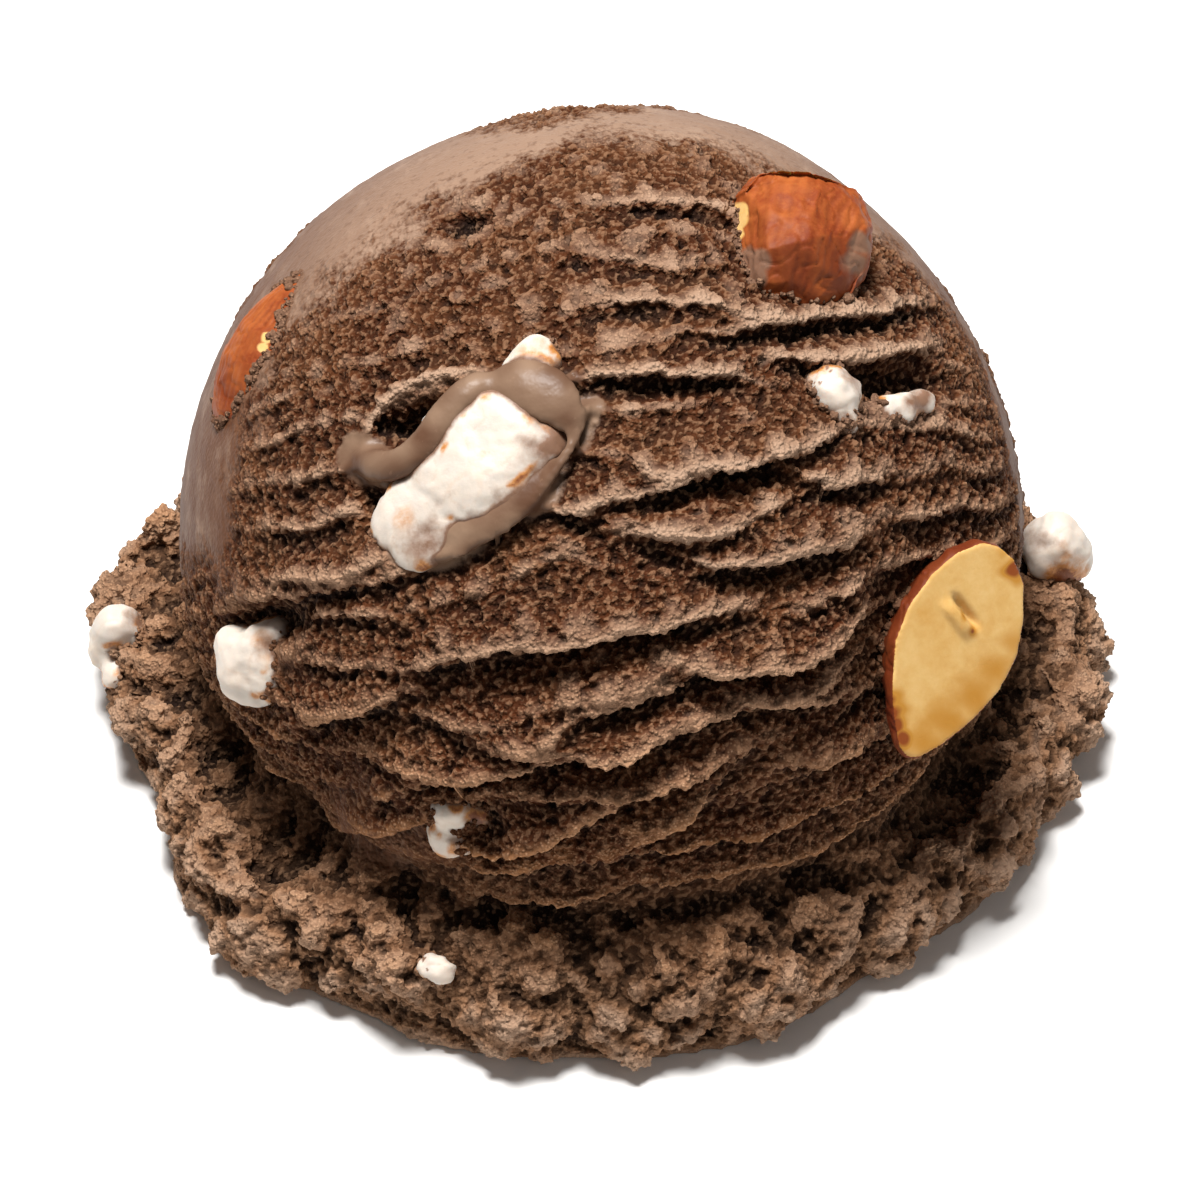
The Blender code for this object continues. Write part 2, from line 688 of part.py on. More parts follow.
def drop_crumbs(bm):
    """Keeps the largest connected shell: a pocket's rim can leave a loose crumb."""
    shells = []
    unseen = set(bm.verts)
    while unseen:
        shell = []
        edge_of_shell = [unseen.pop()]
        while edge_of_shell:
            vert = edge_of_shell.pop()
            shell.append(vert)
            for edge in vert.link_edges:
                other = edge.other_vert(vert)
                if other in unseen:
                    unseen.remove(other)
                    edge_of_shell.append(other)
        shells.append(shell)
    shells.sort(key=len)
    for shell in shells[:-1]:
        bmesh.ops.delete(bm, geom=shell, context="VERTS")


def main():
    clear_scene()
    body = ice_cream()
    almonds()
    marshmallows()
    cut_pockets(body, pocket_cutters())


main()
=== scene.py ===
import json
import math

import bpy
import numpy as np
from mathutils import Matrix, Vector, noise
from mathutils.bvhtree import BVHTree
from mathutils.kdtree import KDTree

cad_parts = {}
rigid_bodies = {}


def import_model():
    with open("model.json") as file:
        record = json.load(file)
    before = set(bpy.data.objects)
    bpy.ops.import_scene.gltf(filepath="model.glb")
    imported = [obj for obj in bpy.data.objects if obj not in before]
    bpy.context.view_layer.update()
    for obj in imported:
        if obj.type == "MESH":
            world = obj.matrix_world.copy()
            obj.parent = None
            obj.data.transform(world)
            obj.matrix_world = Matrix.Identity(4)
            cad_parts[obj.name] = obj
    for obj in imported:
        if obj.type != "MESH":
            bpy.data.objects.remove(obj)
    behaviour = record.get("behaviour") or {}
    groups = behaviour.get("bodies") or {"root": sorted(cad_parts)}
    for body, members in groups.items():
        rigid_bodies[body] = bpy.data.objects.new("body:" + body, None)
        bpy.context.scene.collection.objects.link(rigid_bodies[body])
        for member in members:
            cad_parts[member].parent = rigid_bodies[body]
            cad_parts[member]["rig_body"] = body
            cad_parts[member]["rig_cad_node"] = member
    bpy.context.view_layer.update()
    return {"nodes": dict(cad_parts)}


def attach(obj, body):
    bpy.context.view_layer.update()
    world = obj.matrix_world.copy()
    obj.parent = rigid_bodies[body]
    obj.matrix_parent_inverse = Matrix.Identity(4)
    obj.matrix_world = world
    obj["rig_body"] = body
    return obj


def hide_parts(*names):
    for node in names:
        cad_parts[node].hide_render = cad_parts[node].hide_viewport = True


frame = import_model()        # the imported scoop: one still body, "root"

mm = 0.001


# Small helpers

def say(text):
    print("scoop:", text, flush=True)


def only(obj):
    # this object alone is selected and active, in object mode
    if bpy.context.object and bpy.context.object.mode != "OBJECT":
        bpy.ops.object.mode_set(mode="OBJECT")
    bpy.ops.object.select_all(action="DESELECT")
    obj.select_set(True)
    bpy.context.view_layer.objects.active = obj


def applyModifier(obj, kind, **settings):
    only(obj)
    modifier = obj.modifiers.new(kind.lower(), kind)
    for name, value in settings.items():
        setattr(modifier, name, value)
    bpy.ops.object.modifier_apply(modifier=modifier.name)


def readPoints(mesh):
    points = np.empty(len(mesh.vertices) * 3)
    mesh.vertices.foreach_get("co", points)
    return points.reshape(-1, 3)


def readNormals(mesh):
    normals = np.empty(len(mesh.vertices) * 3)
    mesh.vertex_normals.foreach_get("vector", normals)
    return normals.reshape(-1, 3)


def writePoints(mesh, points):
    mesh.vertices.foreach_set("co", np.ascontiguousarray(points).ravel())
    mesh.update()


def writeLayer(mesh, name, values):
    # one number for each point, which the materials read by its name
    layer = mesh.attributes.get(name) or mesh.attributes.new(name, "FLOAT", "POINT")
    layer.data.foreach_set("value", np.ascontiguousarray(values, np.float32))


def linear(hexText):
    # an sRGB hex colour as linear RGBA
    parts = [int(hexText[i:i + 2], 16) / 255 for i in (1, 3, 5)]
    return tuple(c / 12.92 if c <= 0.04045 else ((c + 0.055) / 1.055) ** 2.4 for c in parts) + (1.0,)


# Camera, first, as everything is judged from it

view = {
    "target": (0, 0, 11 * mm),
    "distance": 450 * mm,
    "elevation": 47,
    "lens": 157,
}


def makeCamera():
    rise = math.radians(view["elevation"])
    back = Vector((0, -math.cos(rise), math.sin(rise)))
    bpy.ops.object.camera_add(location=Vector(view["target"]) + back * view["distance"])
    camera = bpy.context.object
    camera.name = "photoCamera"
    camera.rotation_euler = back.to_track_quat("Z", "Y").to_euler()
    camera.data.lens = view["lens"]
    camera.data.clip_start = 10 * mm
    bpy.context.scene.camera = camera


makeCamera()
say("camera set")


# The ice cream's form, from the same values as the solid

scoop = {
    "radius": 36 * mm,
    "centreHeight": 20 * mm,
    "skirtReach": 43.2 * mm,
    "skirtHeight": 10 * mm,
    "faceTilt": 47,             # degrees: how far the torn face looks up
    "sides": 96,
    "firstVoxel": 0.44 * mm,
    "skinVoxel": 0.42 * mm,
    "wedges": 6,                # the finished skin is split so that each piece stays light
    "wedgeTurn": 18,
    "wedgeCore": (0.8, 0.8, 0.5),       # size of the inner copy of a wedge's rim
}

tornPatches = (                 # azimuth, elevation, spread in degrees
    (14, 42, 66),
    (168, 26, 17),
    (-128, 14, 13),
    (112, 2, 20),
    (-54, 0, 20),
    (-165, 52, 9),
)
tornEdge = 9                    # degrees on each side of a patch's rim over which it fades

crests = (                      # on the face in mm: start, middle, end, height
    ((6, 15.5), (17, 17.2), (26, 18.5), 1.6),
    ((0, 25.4), (5, 27), (10.5, 25.5), 0.8),
    ((-3, 22), (2, 20.8), (8, 20.7), 0.8),
    ((-1, 17.5), (6, 18.7), (13, 17.4), 1.0),
    ((-1, 11.7), (5, 13.2), (12, 11.9), 1.5),
    ((-2, 1.6), (7, 4.4), (17.5, 7), 1.3),
    ((13.5, 6.3), (17, 2.6), (22, 4.5), 0.9),
    ((0, 0), (5, -1), (11, 0), 0.8),
    ((5, -1.8), (11, -3), (19, -1.4), 1.1),
    ((-13, -10.2), (-1, -7.2), (10, -6.4), 1.5),
    ((7, -10.4), (13.5, -11.4), (20.5, -7), 1.4),
    ((-5, -15.4), (1.5, -13), (8, -11.6), 1.1),
    ((-10, -16.2), (0, -17.2), (10, -15), 1.1),
    ((-16.5, -21), (-8, -18), (3.5, -17.2), 1.1),
    ((-11, -26.2), (-3.6, -23.6), (8, -19), 1.2),
    ((2, -26), (6.4, -23.4), (9.5, -20.4), 0.9),
    ((-30, -5.6), (-21.5, -4.8), (-14, -3.2), 0.9),
    ((-24.5, -16), (-20, -14), (-15.5, -13.2), 0.8),
    ((12.5, 13.8), (19, 13.2), (27, 15), 1.3),
    ((11, -13.4), (16, -14.4), (21, -13), 0.9),
    ((15.5, -19.2), (19, -17.8), (23, -16.8), 0.9),
    ((-22, -25), (-17, -24.2), (-13, -23), 0.8),
)
crestShape = {                  # long above the crest, steep and undercut below it
    "height": 1.5,              # times each crest's own
    "slope": 2.4 * mm,
    "drop": 0.38 * mm,
    "undercut": 0.45,
    "lean": 0.7,
    "wander": 0.5 * mm,
    "samples": 16,
    "reach": 8 * mm,
}
drag = {                        # the steps that the scoop's edge dragged up between the crests
    "spacing": 4.1 * mm,
    "height": 1.25 * mm,
    "tilt": 9,
    "lean": 0.6,
    "wander": 2.4 * mm,
    "ripple": 0.9 * mm,
    "lip": 0.86,                # where along a step its edge starts to fall away
}

hollows = (                     # right, up, half length, half width in mm, turn in degrees, depth in mm
    (-15.0, 8.4, 3.0, 1.5, 12, 3.0),
    (-18.0, 1.5, 1.5, 0.9, -50, 2.2),
    (24.0, 11.6, 4.6, 1.5, -4, 2.6),
    (-9.9, 4.4, 9.5, 6.6, 38, 1.1),
    (-27.2, -8.2, 3.2, 1.6, 20, 2.2),
    (16.2, 23.4, 6.8, 6.2, 0, 1.2),
    (25.4, -9.4, 5.4, 9.6, -22, 2.2),
    (-11.2, 24.7, 1.9, 1.0, 10, 1.8),
    (-9.2, -23.6, 1.6, 1.0, 0, 1.4),
)

skirtLobes = (                  # azimuth in degrees, how much further out in mm, half width
    (-96, 2.4, 9),
    (-118, -3.0, 12),
    (-70, -2.0, 7),
    (-55, 1.0, 6),
    (-43, 1.6, 7),
    (-16, 0.6, 8),
    (37, -2.2, 13),
    (60, -1.6, 6),
    (96, 1.0, 8),
    (118, -2.6, 12),
    (150, -0.8, 14),
    (178, 0.6, 12),
    (-145, -0.6, 14),
)

clefts = (                      # azimuth, half width in degrees, depth in mm
    (6, 24, -1.6),
    (-62, 9, 2.6),
    (-44, 7, 2.8),
    (58, 8, 2.8),
    (78, 10, 2.4),
    (-100, 7, 1.6),
    (160, 12, 1.8),
    (-165, 9, 1.6),
)

ribbons = {                     # half width in mm, flatness, then right, up and lift of each point
    "curl": (1.35, 0.65, ((-20.0, 5.8, -1.2), (-17.8, 4.5, 0.0), (-15.4, 4.6, 0.6), (-13.4, 6.1, 0.8),
                        (-11.8, 8.3, 0.8), (-9.6, 10.3, 0.6), (-7.0, 11.0, -0.8))),
    "film": (2.4, 0.4, ((-8.8, 9.9, -0.6), (-6.2, 10.5, 0.5), (-3.8, 9.5, 0.7), (-2.0, 7.6, 0.0))),
    "brow": (0.55, 0.7, ((-19.2, 6.0, -0.8), (-18.0, 8.5, -0.3), (-16.0, 10.6, -0.4), (-13.0, 11.7, -0.3),
                         (-9.0, 12.2, -0.9))),
    "lip": (0.5, 0.8, ((-0.8, 9.5, -0.8), (-1.7, 7.0, 0.1), (-3.5, 3.8, 0.3), (-5.8, 1.1, 0.3),
                       (-8.8, -1.2, 0.3), (-12.2, -2.7, 0.1), (-15.9, -2.3, -0.7))),
    "lobe": (1.3, 0.4, ((-12.8, -1.0, -0.7), (-10.6, -0.9, 0.3), (-8.0, 0.0, 0.3), (-5.6, 2.2, 0.1),
                        (-3.6, 5.0, -0.4))),
}

ribbonShape = {
    "endSize": 0.55,            # an end's share of the half width
    "sides": 4,                 # bevel steps
    "steps": 12,                # between two points of a route
    "levelled": 60,             # points to each side over which a ribbon's middle is evened out
}

tilt = math.radians(scoop["faceTilt"])
faceRight = np.array([1.0, 0.0, 0.0])
faceUp = np.array([0.0, math.sin(tilt), math.cos(tilt)])
faceOut = np.array([0.0, -math.cos(tilt), math.sin(tilt)])
ballCentre = np.array([0.0, 0.0, scoop["centreHeight"]])


def smoothStep(low, high, value):
    t = np.clip((value - low) / (high - low), 0, 1)
    return t * t * (3 - 2 * t)


def bell(distance):
    return np.exp(-(distance ** 2))


def unitRows(vectors):
    return vectors / np.linalg.norm(vectors, axis=1)[:, None]


def onFace(points):
    # how far each point lies to the right of the ball's centre, up the face and out of it
    fromCentre = points - ballCentre
    return fromCentre @ faceRight, fromCentre @ faceUp, fromCentre @ faceOut


def noiseAt(points, size, seed):
    shifted = points / size + seed * 7.31
    return np.fromiter((noise.noise(p) for p in shifted.tolist()), float, len(points))


def lumpsAt(points, size, seed):
    # 1 on the tops of rounded lumps, 0 in the creases between them
    shifted = points / size + seed * 3.77
    nearest = np.array([noise.voronoi(p)[0][:2] for p in shifted.tolist()])
    return smoothStep(0.0, 0.55, nearest[:, 1] - nearest[:, 0])


def facePoint(right, up, lift=0.0):
    out = math.sqrt(scoop["radius"] ** 2 - right ** 2 - up ** 2)
    direction = (faceRight * right + faceUp * up + faceOut * out) / scoop["radius"]
    return ballCentre + direction * (scoop["radius"] + lift)


def directionOf(azimuth, elevation):
    turn, rise = math.radians(azimuth), math.radians(elevation)
    return np.array([
        math.sin(turn) * math.cos(rise),
        -math.cos(turn) * math.cos(rise),
        math.sin(rise),
    ])


def tornAmount(directions):
    # 1 where the scoop tore the ball, 0 where it pressed it smooth
    ragged = noiseAt(directions, 0.35, 5) * 10 + noiseAt(directions, 0.09, 15) * 7
    torn = np.zeros(len(directions))
    for azimuth, elevation, spread in tornPatches:
        angle = np.degrees(np.arccos(np.clip(directions @ directionOf(azimuth, elevation), -1, 1)))
        patch = 1 - smoothStep(spread - tornEdge, spread + tornEdge, angle + ragged)
        torn = np.maximum(torn, patch)
    return torn


def crestRelief(points):
    height = np.zeros(len(points))
    lean = np.zeros(len(points))
    samples = crestShape["samples"]
    for number, (start, middle, end, tall) in enumerate(crests):
        line = []
        for t in np.linspace(0, 1, samples):
            right = (1 - t) ** 2 * start[0] + 2 * t * (1 - t) * middle[0] + t * t * end[0]
            up = (1 - t) ** 2 * start[1] + 2 * t * (1 - t) * middle[1] + t * t * end[1]
            line.append(facePoint(right * mm, up * mm))
        line = np.array(line)
        centre = line.mean(axis=0)
        reach = np.linalg.norm(line - centre, axis=1).max() + crestShape["reach"]
        reachable = np.linalg.norm(points - centre, axis=1) < reach
        near = points[reachable]
        away = near[:, None, :] - line[None, :, :]
        nearest = np.argmin((away ** 2).sum(axis=2), axis=1)
        along = unitRows(np.gradient(line, axis=0))
        outward = (line - ballCentre) / scoop["radius"]
        uphill = np.cross(outward, along)
        uphill *= np.sign(uphill @ faceUp)[:, None]
        away = away[np.arange(len(near)), nearest]
        wander = crestShape["wander"] * noiseAt(near, 3.2 * mm, 20 + number)
        across = (away * uphill[nearest]).sum(axis=1) + wander
        pastEnd = np.abs((away * along[nearest]).sum(axis=1))
        share = nearest / (samples - 1)
        strength = np.sin(np.pi * np.clip(0.08 + 0.84 * share, 0, 1)) ** 0.6 * bell(pastEnd / (2.2 * mm))
        ridge = bell(across / np.where(across > 0, crestShape["slope"], crestShape["drop"]))
        under = crestShape["undercut"] * bell((across + 1.5 * mm) / (1.1 * mm))
        tall = tall * crestShape["height"] * mm
        height[reachable] += tall * strength * (ridge - under)
        lean[reachable] += tall * strength * ridge * crestShape["lean"]
    return height, lean


def dragRelief(points):
    right, up, out = onFace(points)
    turn = math.radians(drag["tilt"])
    turned = up * math.cos(turn) - right * math.sin(turn)
    sweep = np.arctan2(turned, out + 0.6 * scoop["radius"]) * 1.45 * scoop["radius"]
    wander = drag["wander"] * noiseAt(points, 16 * mm, 2) + drag["ripple"] * noiseAt(points, 5 * mm, 3)
    phase = 1 - ((sweep + wander) / drag["spacing"]) % 1
    shingle = 1.15 * phase ** 2 * (1 - smoothStep(drag["lip"], 1.0, phase))
    broken = smoothStep(-0.35, 0.35, noiseAt(points, 8 * mm, 4))
    inFront = smoothStep(-0.35 * scoop["radius"], -0.1 * scoop["radius"], out)
    lower = 0.4 + 0.6 * (1 - smoothStep(4 * mm, 16 * mm, up))
    amount = inFront * lower * drag["height"] * (0.4 + 0.6 * broken)
    return amount * (shingle - 0.3), amount * shingle * drag["lean"]


def hollowRelief(points):
    depth = np.zeros(len(points))
    right, up, out = onFace(points)
    front = out > 0
    for centreRight, centreUp, halfLength, halfWidth, turn, deep in hollows:
        cosine, sine = math.cos(math.radians(turn)), math.sin(math.radians(turn))
        x = right - centreRight * mm
        y = up - centreUp * mm
        lengthShare = (x * cosine + y * sine) / (halfLength * mm)
        widthShare = (y * cosine - x * sine) / (halfWidth * mm)
        depth += deep * mm * np.exp(-((lengthShare ** 2 + widthShare ** 2) ** 1.5)) * front
    return depth


def aroundSkirt(azimuth, table):
    # the bumps of a table of azimuth, size and half width, added up
    total = np.zeros(len(azimuth))
    for degrees, size, halfWidth in table:
        apart = (np.degrees(azimuth) - degrees + 180) % 360 - 180
        total += size * mm * bell(apart / halfWidth)
    return total


def bodyRelief(points, normals):
    directions = unitRows(points - ballCentre)
    azimuth = np.arctan2(points[:, 0], -points[:, 1])
    radius = np.hypot(points[:, 0], points[:, 1])
    reach, top = scoop["skirtReach"], scoop["skirtHeight"]
    onDome = smoothStep(top - 0.5 * mm, top + 4 * mm, points[:, 2])
    onSkirt = 1 - onDome
    notUnder = smoothStep(0, 1.5 * mm, points[:, 2])
    torn = tornAmount(directions) * onDome

    ridges, lean = crestRelief(points)
    height = onDome * ridges
    dragged, droop = dragRelief(points)
    height += torn * dragged
    lean += torn * droop
    height += (0.15 + 0.85 * torn) * onDome * 0.35 * mm * (lumpsAt(points, 3.0 * mm, 6) - 0.5)
    height += onDome * mm * (0.6 * noiseAt(points, 20 * mm, 7) - 0.35)
    height -= onDome * hollowRelief(points)

    coarse = lumpsAt(points * [1, 1, 0.8], 9 * mm, 8)
    fine = lumpsAt(points, 4 * mm, 9)
    height += onSkirt * notUnder * mm * (1.9 * (coarse - 0.6) + 1.2 * (fine - 0.5))

    junction = bell((radius - reach + 6.5 * mm) / (2.4 * mm)) * bell((points[:, 2] - top) / (5 * mm))
    height -= junction * aroundSkirt(azimuth, [(a, deep, half) for a, half, deep in clefts])

    moved = points + normals * height[:, None]
    moved -= faceUp * (onDome * lean)[:, None]
    outward = smoothStep(scoop["radius"] - 2 * mm, reach - 2 * mm, radius) * onSkirt
    stretch = 1 + outward * aroundSkirt(azimuth, skirtLobes) / reach
    moved[:, 0] *= stretch
    moved[:, 1] *= stretch
    moved[:, 2] = np.where(points[:, 2] < 0.4 * mm, 0.0, np.maximum(moved[:, 2], 0.0))
    return moved


def profileRings():
    # radius and height of each ring, from the underside's rim up to the top
    radius, centre = scoop["radius"], scoop["centreHeight"]
    reach, top = scoop["skirtReach"], scoop["skirtHeight"]
    rings = [(reach - 1.6 * mm, 0.0)]
    for angle in np.radians(np.linspace(-35, 62, 5)):
        rings.append((reach - 4 * mm + 4 * mm * math.cos(angle), 4.6 * mm + 4.8 * mm * math.sin(angle)))
    rings.append((reach - 3.4 * mm, top - 0.4 * mm))
    rings.append((reach - 6.6 * mm, top))
    lowest = math.asin((top + 1.5 * mm - centre) / radius)
    for angle in np.linspace(lowest, math.pi / 2, 26):
        rings.append((radius * math.cos(angle), centre + radius * math.sin(angle)))
    return rings


def turnBody():
    # the outline is drawn ring by ring, each extruded from the last and resized
    rings = profileRings()
    bpy.ops.object.select_all(action="DESELECT")
    bpy.ops.mesh.primitive_circle_add(vertices=scoop["sides"], radius=rings[0][0], location=(0, 0, 0))
    body = bpy.context.object
    bpy.ops.object.mode_set(mode="EDIT")
    bpy.ops.mesh.select_all(action="SELECT")
    for (lastRadius, lastHeight), (radius, height) in zip(rings, rings[1:]):
        bpy.ops.mesh.extrude_region_move(TRANSFORM_OT_translate={"value": (0, 0, height - lastHeight)})
        size = max(radius, 0.01 * mm) / lastRadius
        bpy.ops.transform.resize(value=(size, size, 1), center_override=(0, 0, height))
    bpy.ops.mesh.merge(type="CENTER")
    bpy.ops.mesh.select_all(action="DESELECT")
    bpy.ops.object.mode_set(mode="OBJECT")
    for vert in body.data.vertices:
        vert.select = vert.co.z < 0.01 * mm
    bpy.ops.object.mode_set(mode="EDIT")
    bpy.ops.mesh.edge_face_add()
    bpy.ops.mesh.select_all(action="SELECT")
    bpy.ops.mesh.normals_make_consistent(inside=False)
    bpy.ops.object.mode_set(mode="OBJECT")
    applyModifier(body, "REMESH", mode="VOXEL", voxel_size=scoop["firstVoxel"])
    return body


def makeRibbons():
    made = []
    for halfWidth, flatness, route in ribbons.values():
        bpy.ops.object.select_all(action="DESELECT")
        bpy.ops.curve.primitive_bezier_curve_add()
        ribbon = bpy.context.object
        curve = ribbon.data
        spline = curve.splines[0]
        spline.bezier_points.add(len(route) - 2)
        for point, (right, up, lift) in zip(spline.bezier_points, route):
            point.handle_left_type = point.handle_right_type = "AUTO"
            point.co = facePoint(right * mm, up * mm, lift * mm)
            point.radius = ribbonShape["endSize"] if (right, up, lift) in (route[0], route[-1]) else 1.0
        curve.bevel_depth = halfWidth * mm
        curve.bevel_resolution = ribbonShape["sides"]
        curve.resolution_u = ribbonShape["steps"]
        curve.use_fill_caps = True
        ribbon.location = (0, 0, 0)
        bpy.ops.object.convert(target="MESH")
        made.append(bpy.context.object)
        mesh = bpy.context.object.data
        points = readPoints(mesh)
        outward = points - ballCentre
        distance = np.linalg.norm(outward, axis=1)
        outward /= distance[:, None]
        share = (points - facePoint(*(np.array(route[0][:2]) * mm))) @ faceRight
        order = np.argsort(share)
        half = ribbonShape["levelled"]
        window = 2 * half + 1
        level = np.empty(len(points))
        level[order] = np.convolve(np.pad(distance[order], half, mode="edge"),
                                   np.ones(window) / window, "valid")
        points -= outward * ((distance - level) * (1 - flatness))[:, None]
        writePoints(mesh, points)
    return made


body = turnBody()
writePoints(body.data, bodyRelief(readPoints(body.data), readNormals(body.data)))
say(f"body shaped, {len(body.data.polygons)} faces")

ribbonPieces = makeRibbons()
melted = [piece for name, piece in zip(ribbons, ribbonPieces) if name != "brow"]    # the brow is torn crumb
ribbonPoints = np.concatenate([readPoints(piece.data) for piece in melted])
only(body)
for piece in ribbonPieces:
    piece.select_set(True)
bpy.ops.object.join()
applyModifier(body, "REMESH", mode="VOXEL", voxel_size=scoop["skinVoxel"])


# Crumb: the torn skin breaks up into clumps, grains and pits

crumb = {                       # kind, size and strength in mm, middle value, where, and the kind's settings
    "crags": ("CLOUDS", 3.0, 1.7, 0.55, "skirt", {"noise_depth": 2}),
    "veins": ("MUSGRAVE", 1.7, 0.2, 0.55, "crumb", {"musgrave_type": "RIDGED_MULTIFRACTAL", "octaves": 3}),
    "breaks": ("CLOUDS", 0.8, 0.42, 0.5, "crumb", {"noise_depth": 3}),
    "pits": ("CLOUDS", 0.6, 0.3, 1.0, "crumb", {"noise_depth": 1, "contrast": 3.5, "intensity": 1.3}),
    "grains": ("VORONOI", 0.42, -0.1, 0.3, "crumb", {"distance_metric": "DISTANCE_SQUARED"}),
}


def weightGroup(obj, name, weights):
    # the weights are set in a hundred steps, as one call for each step is quick
    group = obj.vertex_groups.new(name=name)
    steps = np.round(np.clip(weights, 0, 1) * 100).astype(int)
    for step in range(1, 101):
        found = np.flatnonzero(steps == step)
        if len(found):
            group.add(found.tolist(), step / 100, "REPLACE")


def ribbonNearness(points, reach):
    tree = KDTree(len(ribbonPoints))
    for i, p in enumerate(ribbonPoints):
        tree.insert(p, i)
    tree.balance()
    distance = np.fromiter((tree.find(p)[2] for p in points.tolist()), float, len(points))
    return 1 - smoothStep(0.3 * reach, reach, distance)


def smoothedPoints(mesh, points, rounds):
    # each round moves every point halfway to the middle of its neighbours
    ends = np.empty(len(mesh.edges) * 2, np.int32)
    mesh.edges.foreach_get("vertices", ends)
    first, second = ends.reshape(-1, 2).T
    count = np.bincount(first, minlength=len(points)) + np.bincount(second, minlength=len(points))
    for _ in range(rounds):
        total = np.empty_like(points)
        for axis in range(3):
            column = points[:, axis]
            total[:, axis] = (np.bincount(first, column[second], len(points))
                              + np.bincount(second, column[first], len(points)))
        points = 0.5 * points + 0.5 * total / count[:, None]
    return points


def markBody(mesh):
    points = readPoints(mesh)
    directions = unitRows(points - ballCentre)
    onDome = smoothStep(scoop["skirtHeight"] - 0.5 * mm, scoop["skirtHeight"] + 4 * mm, points[:, 2])
    melt = ribbonNearness(points, 1.6 * mm)
    torn = np.maximum(tornAmount(directions), 1 - onDome)
    rough = torn * (1 - melt)
    above = smoothStep(0.1 * mm, 1.0 * mm, points[:, 2])
    # from how far each point stands above the skin around it, the material paints highlights on the crests
    # and shade in the valleys
    wide = smoothedPoints(mesh, points, 50)
    ridge = ((points - wide) * readNormals(mesh)).sum(axis=1) / (0.6 * mm)
    writeLayer(mesh, "melt", melt)
    writeLayer(mesh, "torn", torn)
    writeLayer(mesh, "ridgeHeight", ridge)
    return rough * above * (1 - 0.55 * onDome * smoothStep(0.1, 0.9, ridge)), above * (1 - onDome)


crumbWeight, skirtWeight = markBody(body.data)
weightGroup(body, "crumb", 0.04 + 0.96 * crumbWeight)
weightGroup(body, "skirt", skirtWeight)
applyModifier(body, "SUBSURF", levels=1, render_levels=1)
say(f"skin divided, {len(body.data.polygons)} faces")

for name, (kind, size, strength, middle, group, settings) in crumb.items():
    texture = bpy.data.textures.new(name, kind)
    texture.noise_scale = size * mm
    for setting, value in settings.items():
        setattr(texture, setting, value)
    applyModifier(body, "DISPLACE", texture=texture, texture_coords="LOCAL", vertex_group=group,
                  strength=strength * mm, mid_level=middle)


def markCavities(mesh):
    # how far each point stands above the skin around it, for grains and for pits; from these the material
    # paints highlights on the grain tips and shade in the pits
    points = readPoints(mesh)
    normals = readNormals(mesh)
    near = smoothedPoints(mesh, points, 5)
    wide = smoothedPoints(mesh, near, 24)
    writeLayer(mesh, "grainHeight", ((points - near) * normals).sum(axis=1) / (0.06 * mm))
    writeLayer(mesh, "pitHeight", ((near - wide) * normals).sum(axis=1) / (0.16 * mm))


markCavities(body.data)
say("crumb made")


# Materials

def addNode(tree, kind, links=(), **settings):
    # links are pairs of this node's input and the socket, or plain value, that it takes
    made = tree.nodes.new(kind)
    for name, value in settings.items():
        setattr(made, name, value)
    for name, source in links:
        if isinstance(source, bpy.types.NodeSocket):
            tree.links.new(source, made.inputs[name])
        else:
            made.inputs[name].default_value = source
    return made


def newMaterial(name):
    material = bpy.data.materials.new(name)
    material.use_nodes = True
    return material, material.node_tree


def findSources(tree, layers, patterns):
    # what a look is worked out from: the place, the mesh's own layers, and noise of a size in mm
    place = addNode(tree, "ShaderNodeTexCoord").outputs["Object"]
    found = {"place": place}
    for name in layers:
        found[name] = addNode(tree, "ShaderNodeAttribute", attribute_name=name).outputs["Fac"]
    for name, (size, detail, roughness) in patterns.items():
        found[name] = addNode(tree, "ShaderNodeTexNoise", (
            ("Vector", place), ("Scale", 1 / (size * mm)), ("Detail", detail), ("Roughness", roughness),
        )).outputs["Fac"]
    return found


def workOut(tree, found, steps):
    # a step is two sources combined, or one source's range and, if not 0 and 1, the amounts at its ends
    for name, step in steps.items():
        if step[1] in ("ADD", "MULTIPLY", "MAXIMUM"):
            first, operation, second = step
            made = addNode(tree, "ShaderNodeMath", (
                (0, found[first]), (1, found[second]),
            ), operation=operation)
        else:
            source, low, high, *ends = step
            least, most = ends or (0, 1)
            made = addNode(tree, "ShaderNodeMapRange", (
                ("Value", found[source]), ("From Min", low), ("From Max", high),
                ("To Min", least), ("To Max", most),
            ))
        found[name] = made.outputs[0]


def layered(tree, colour, *layers):
    # each layer is how much there is of it, and the colour that it lays over those before it
    for amount, cover in layers:
        mix = addNode(tree, "ShaderNodeMix", ((0, amount), (6, colour), (7, cover)), data_type="RGBA")
        colour = mix.outputs[2]
    return colour


def coatShader(tree, colour, height, strength, depth, surface):
    shader = tree.nodes["Principled BSDF"]
    bump = addNode(tree, "ShaderNodeBump", (
        ("Height", height), ("Strength", strength), ("Distance", depth * mm),
    ))
    tree.links.new(colour, shader.inputs["Base Color"])
    tree.links.new(bump.outputs["Normal"], shader.inputs["Normal"])
    for name, value in surface.items():
        shader.inputs[name].default_value = value
    return shader
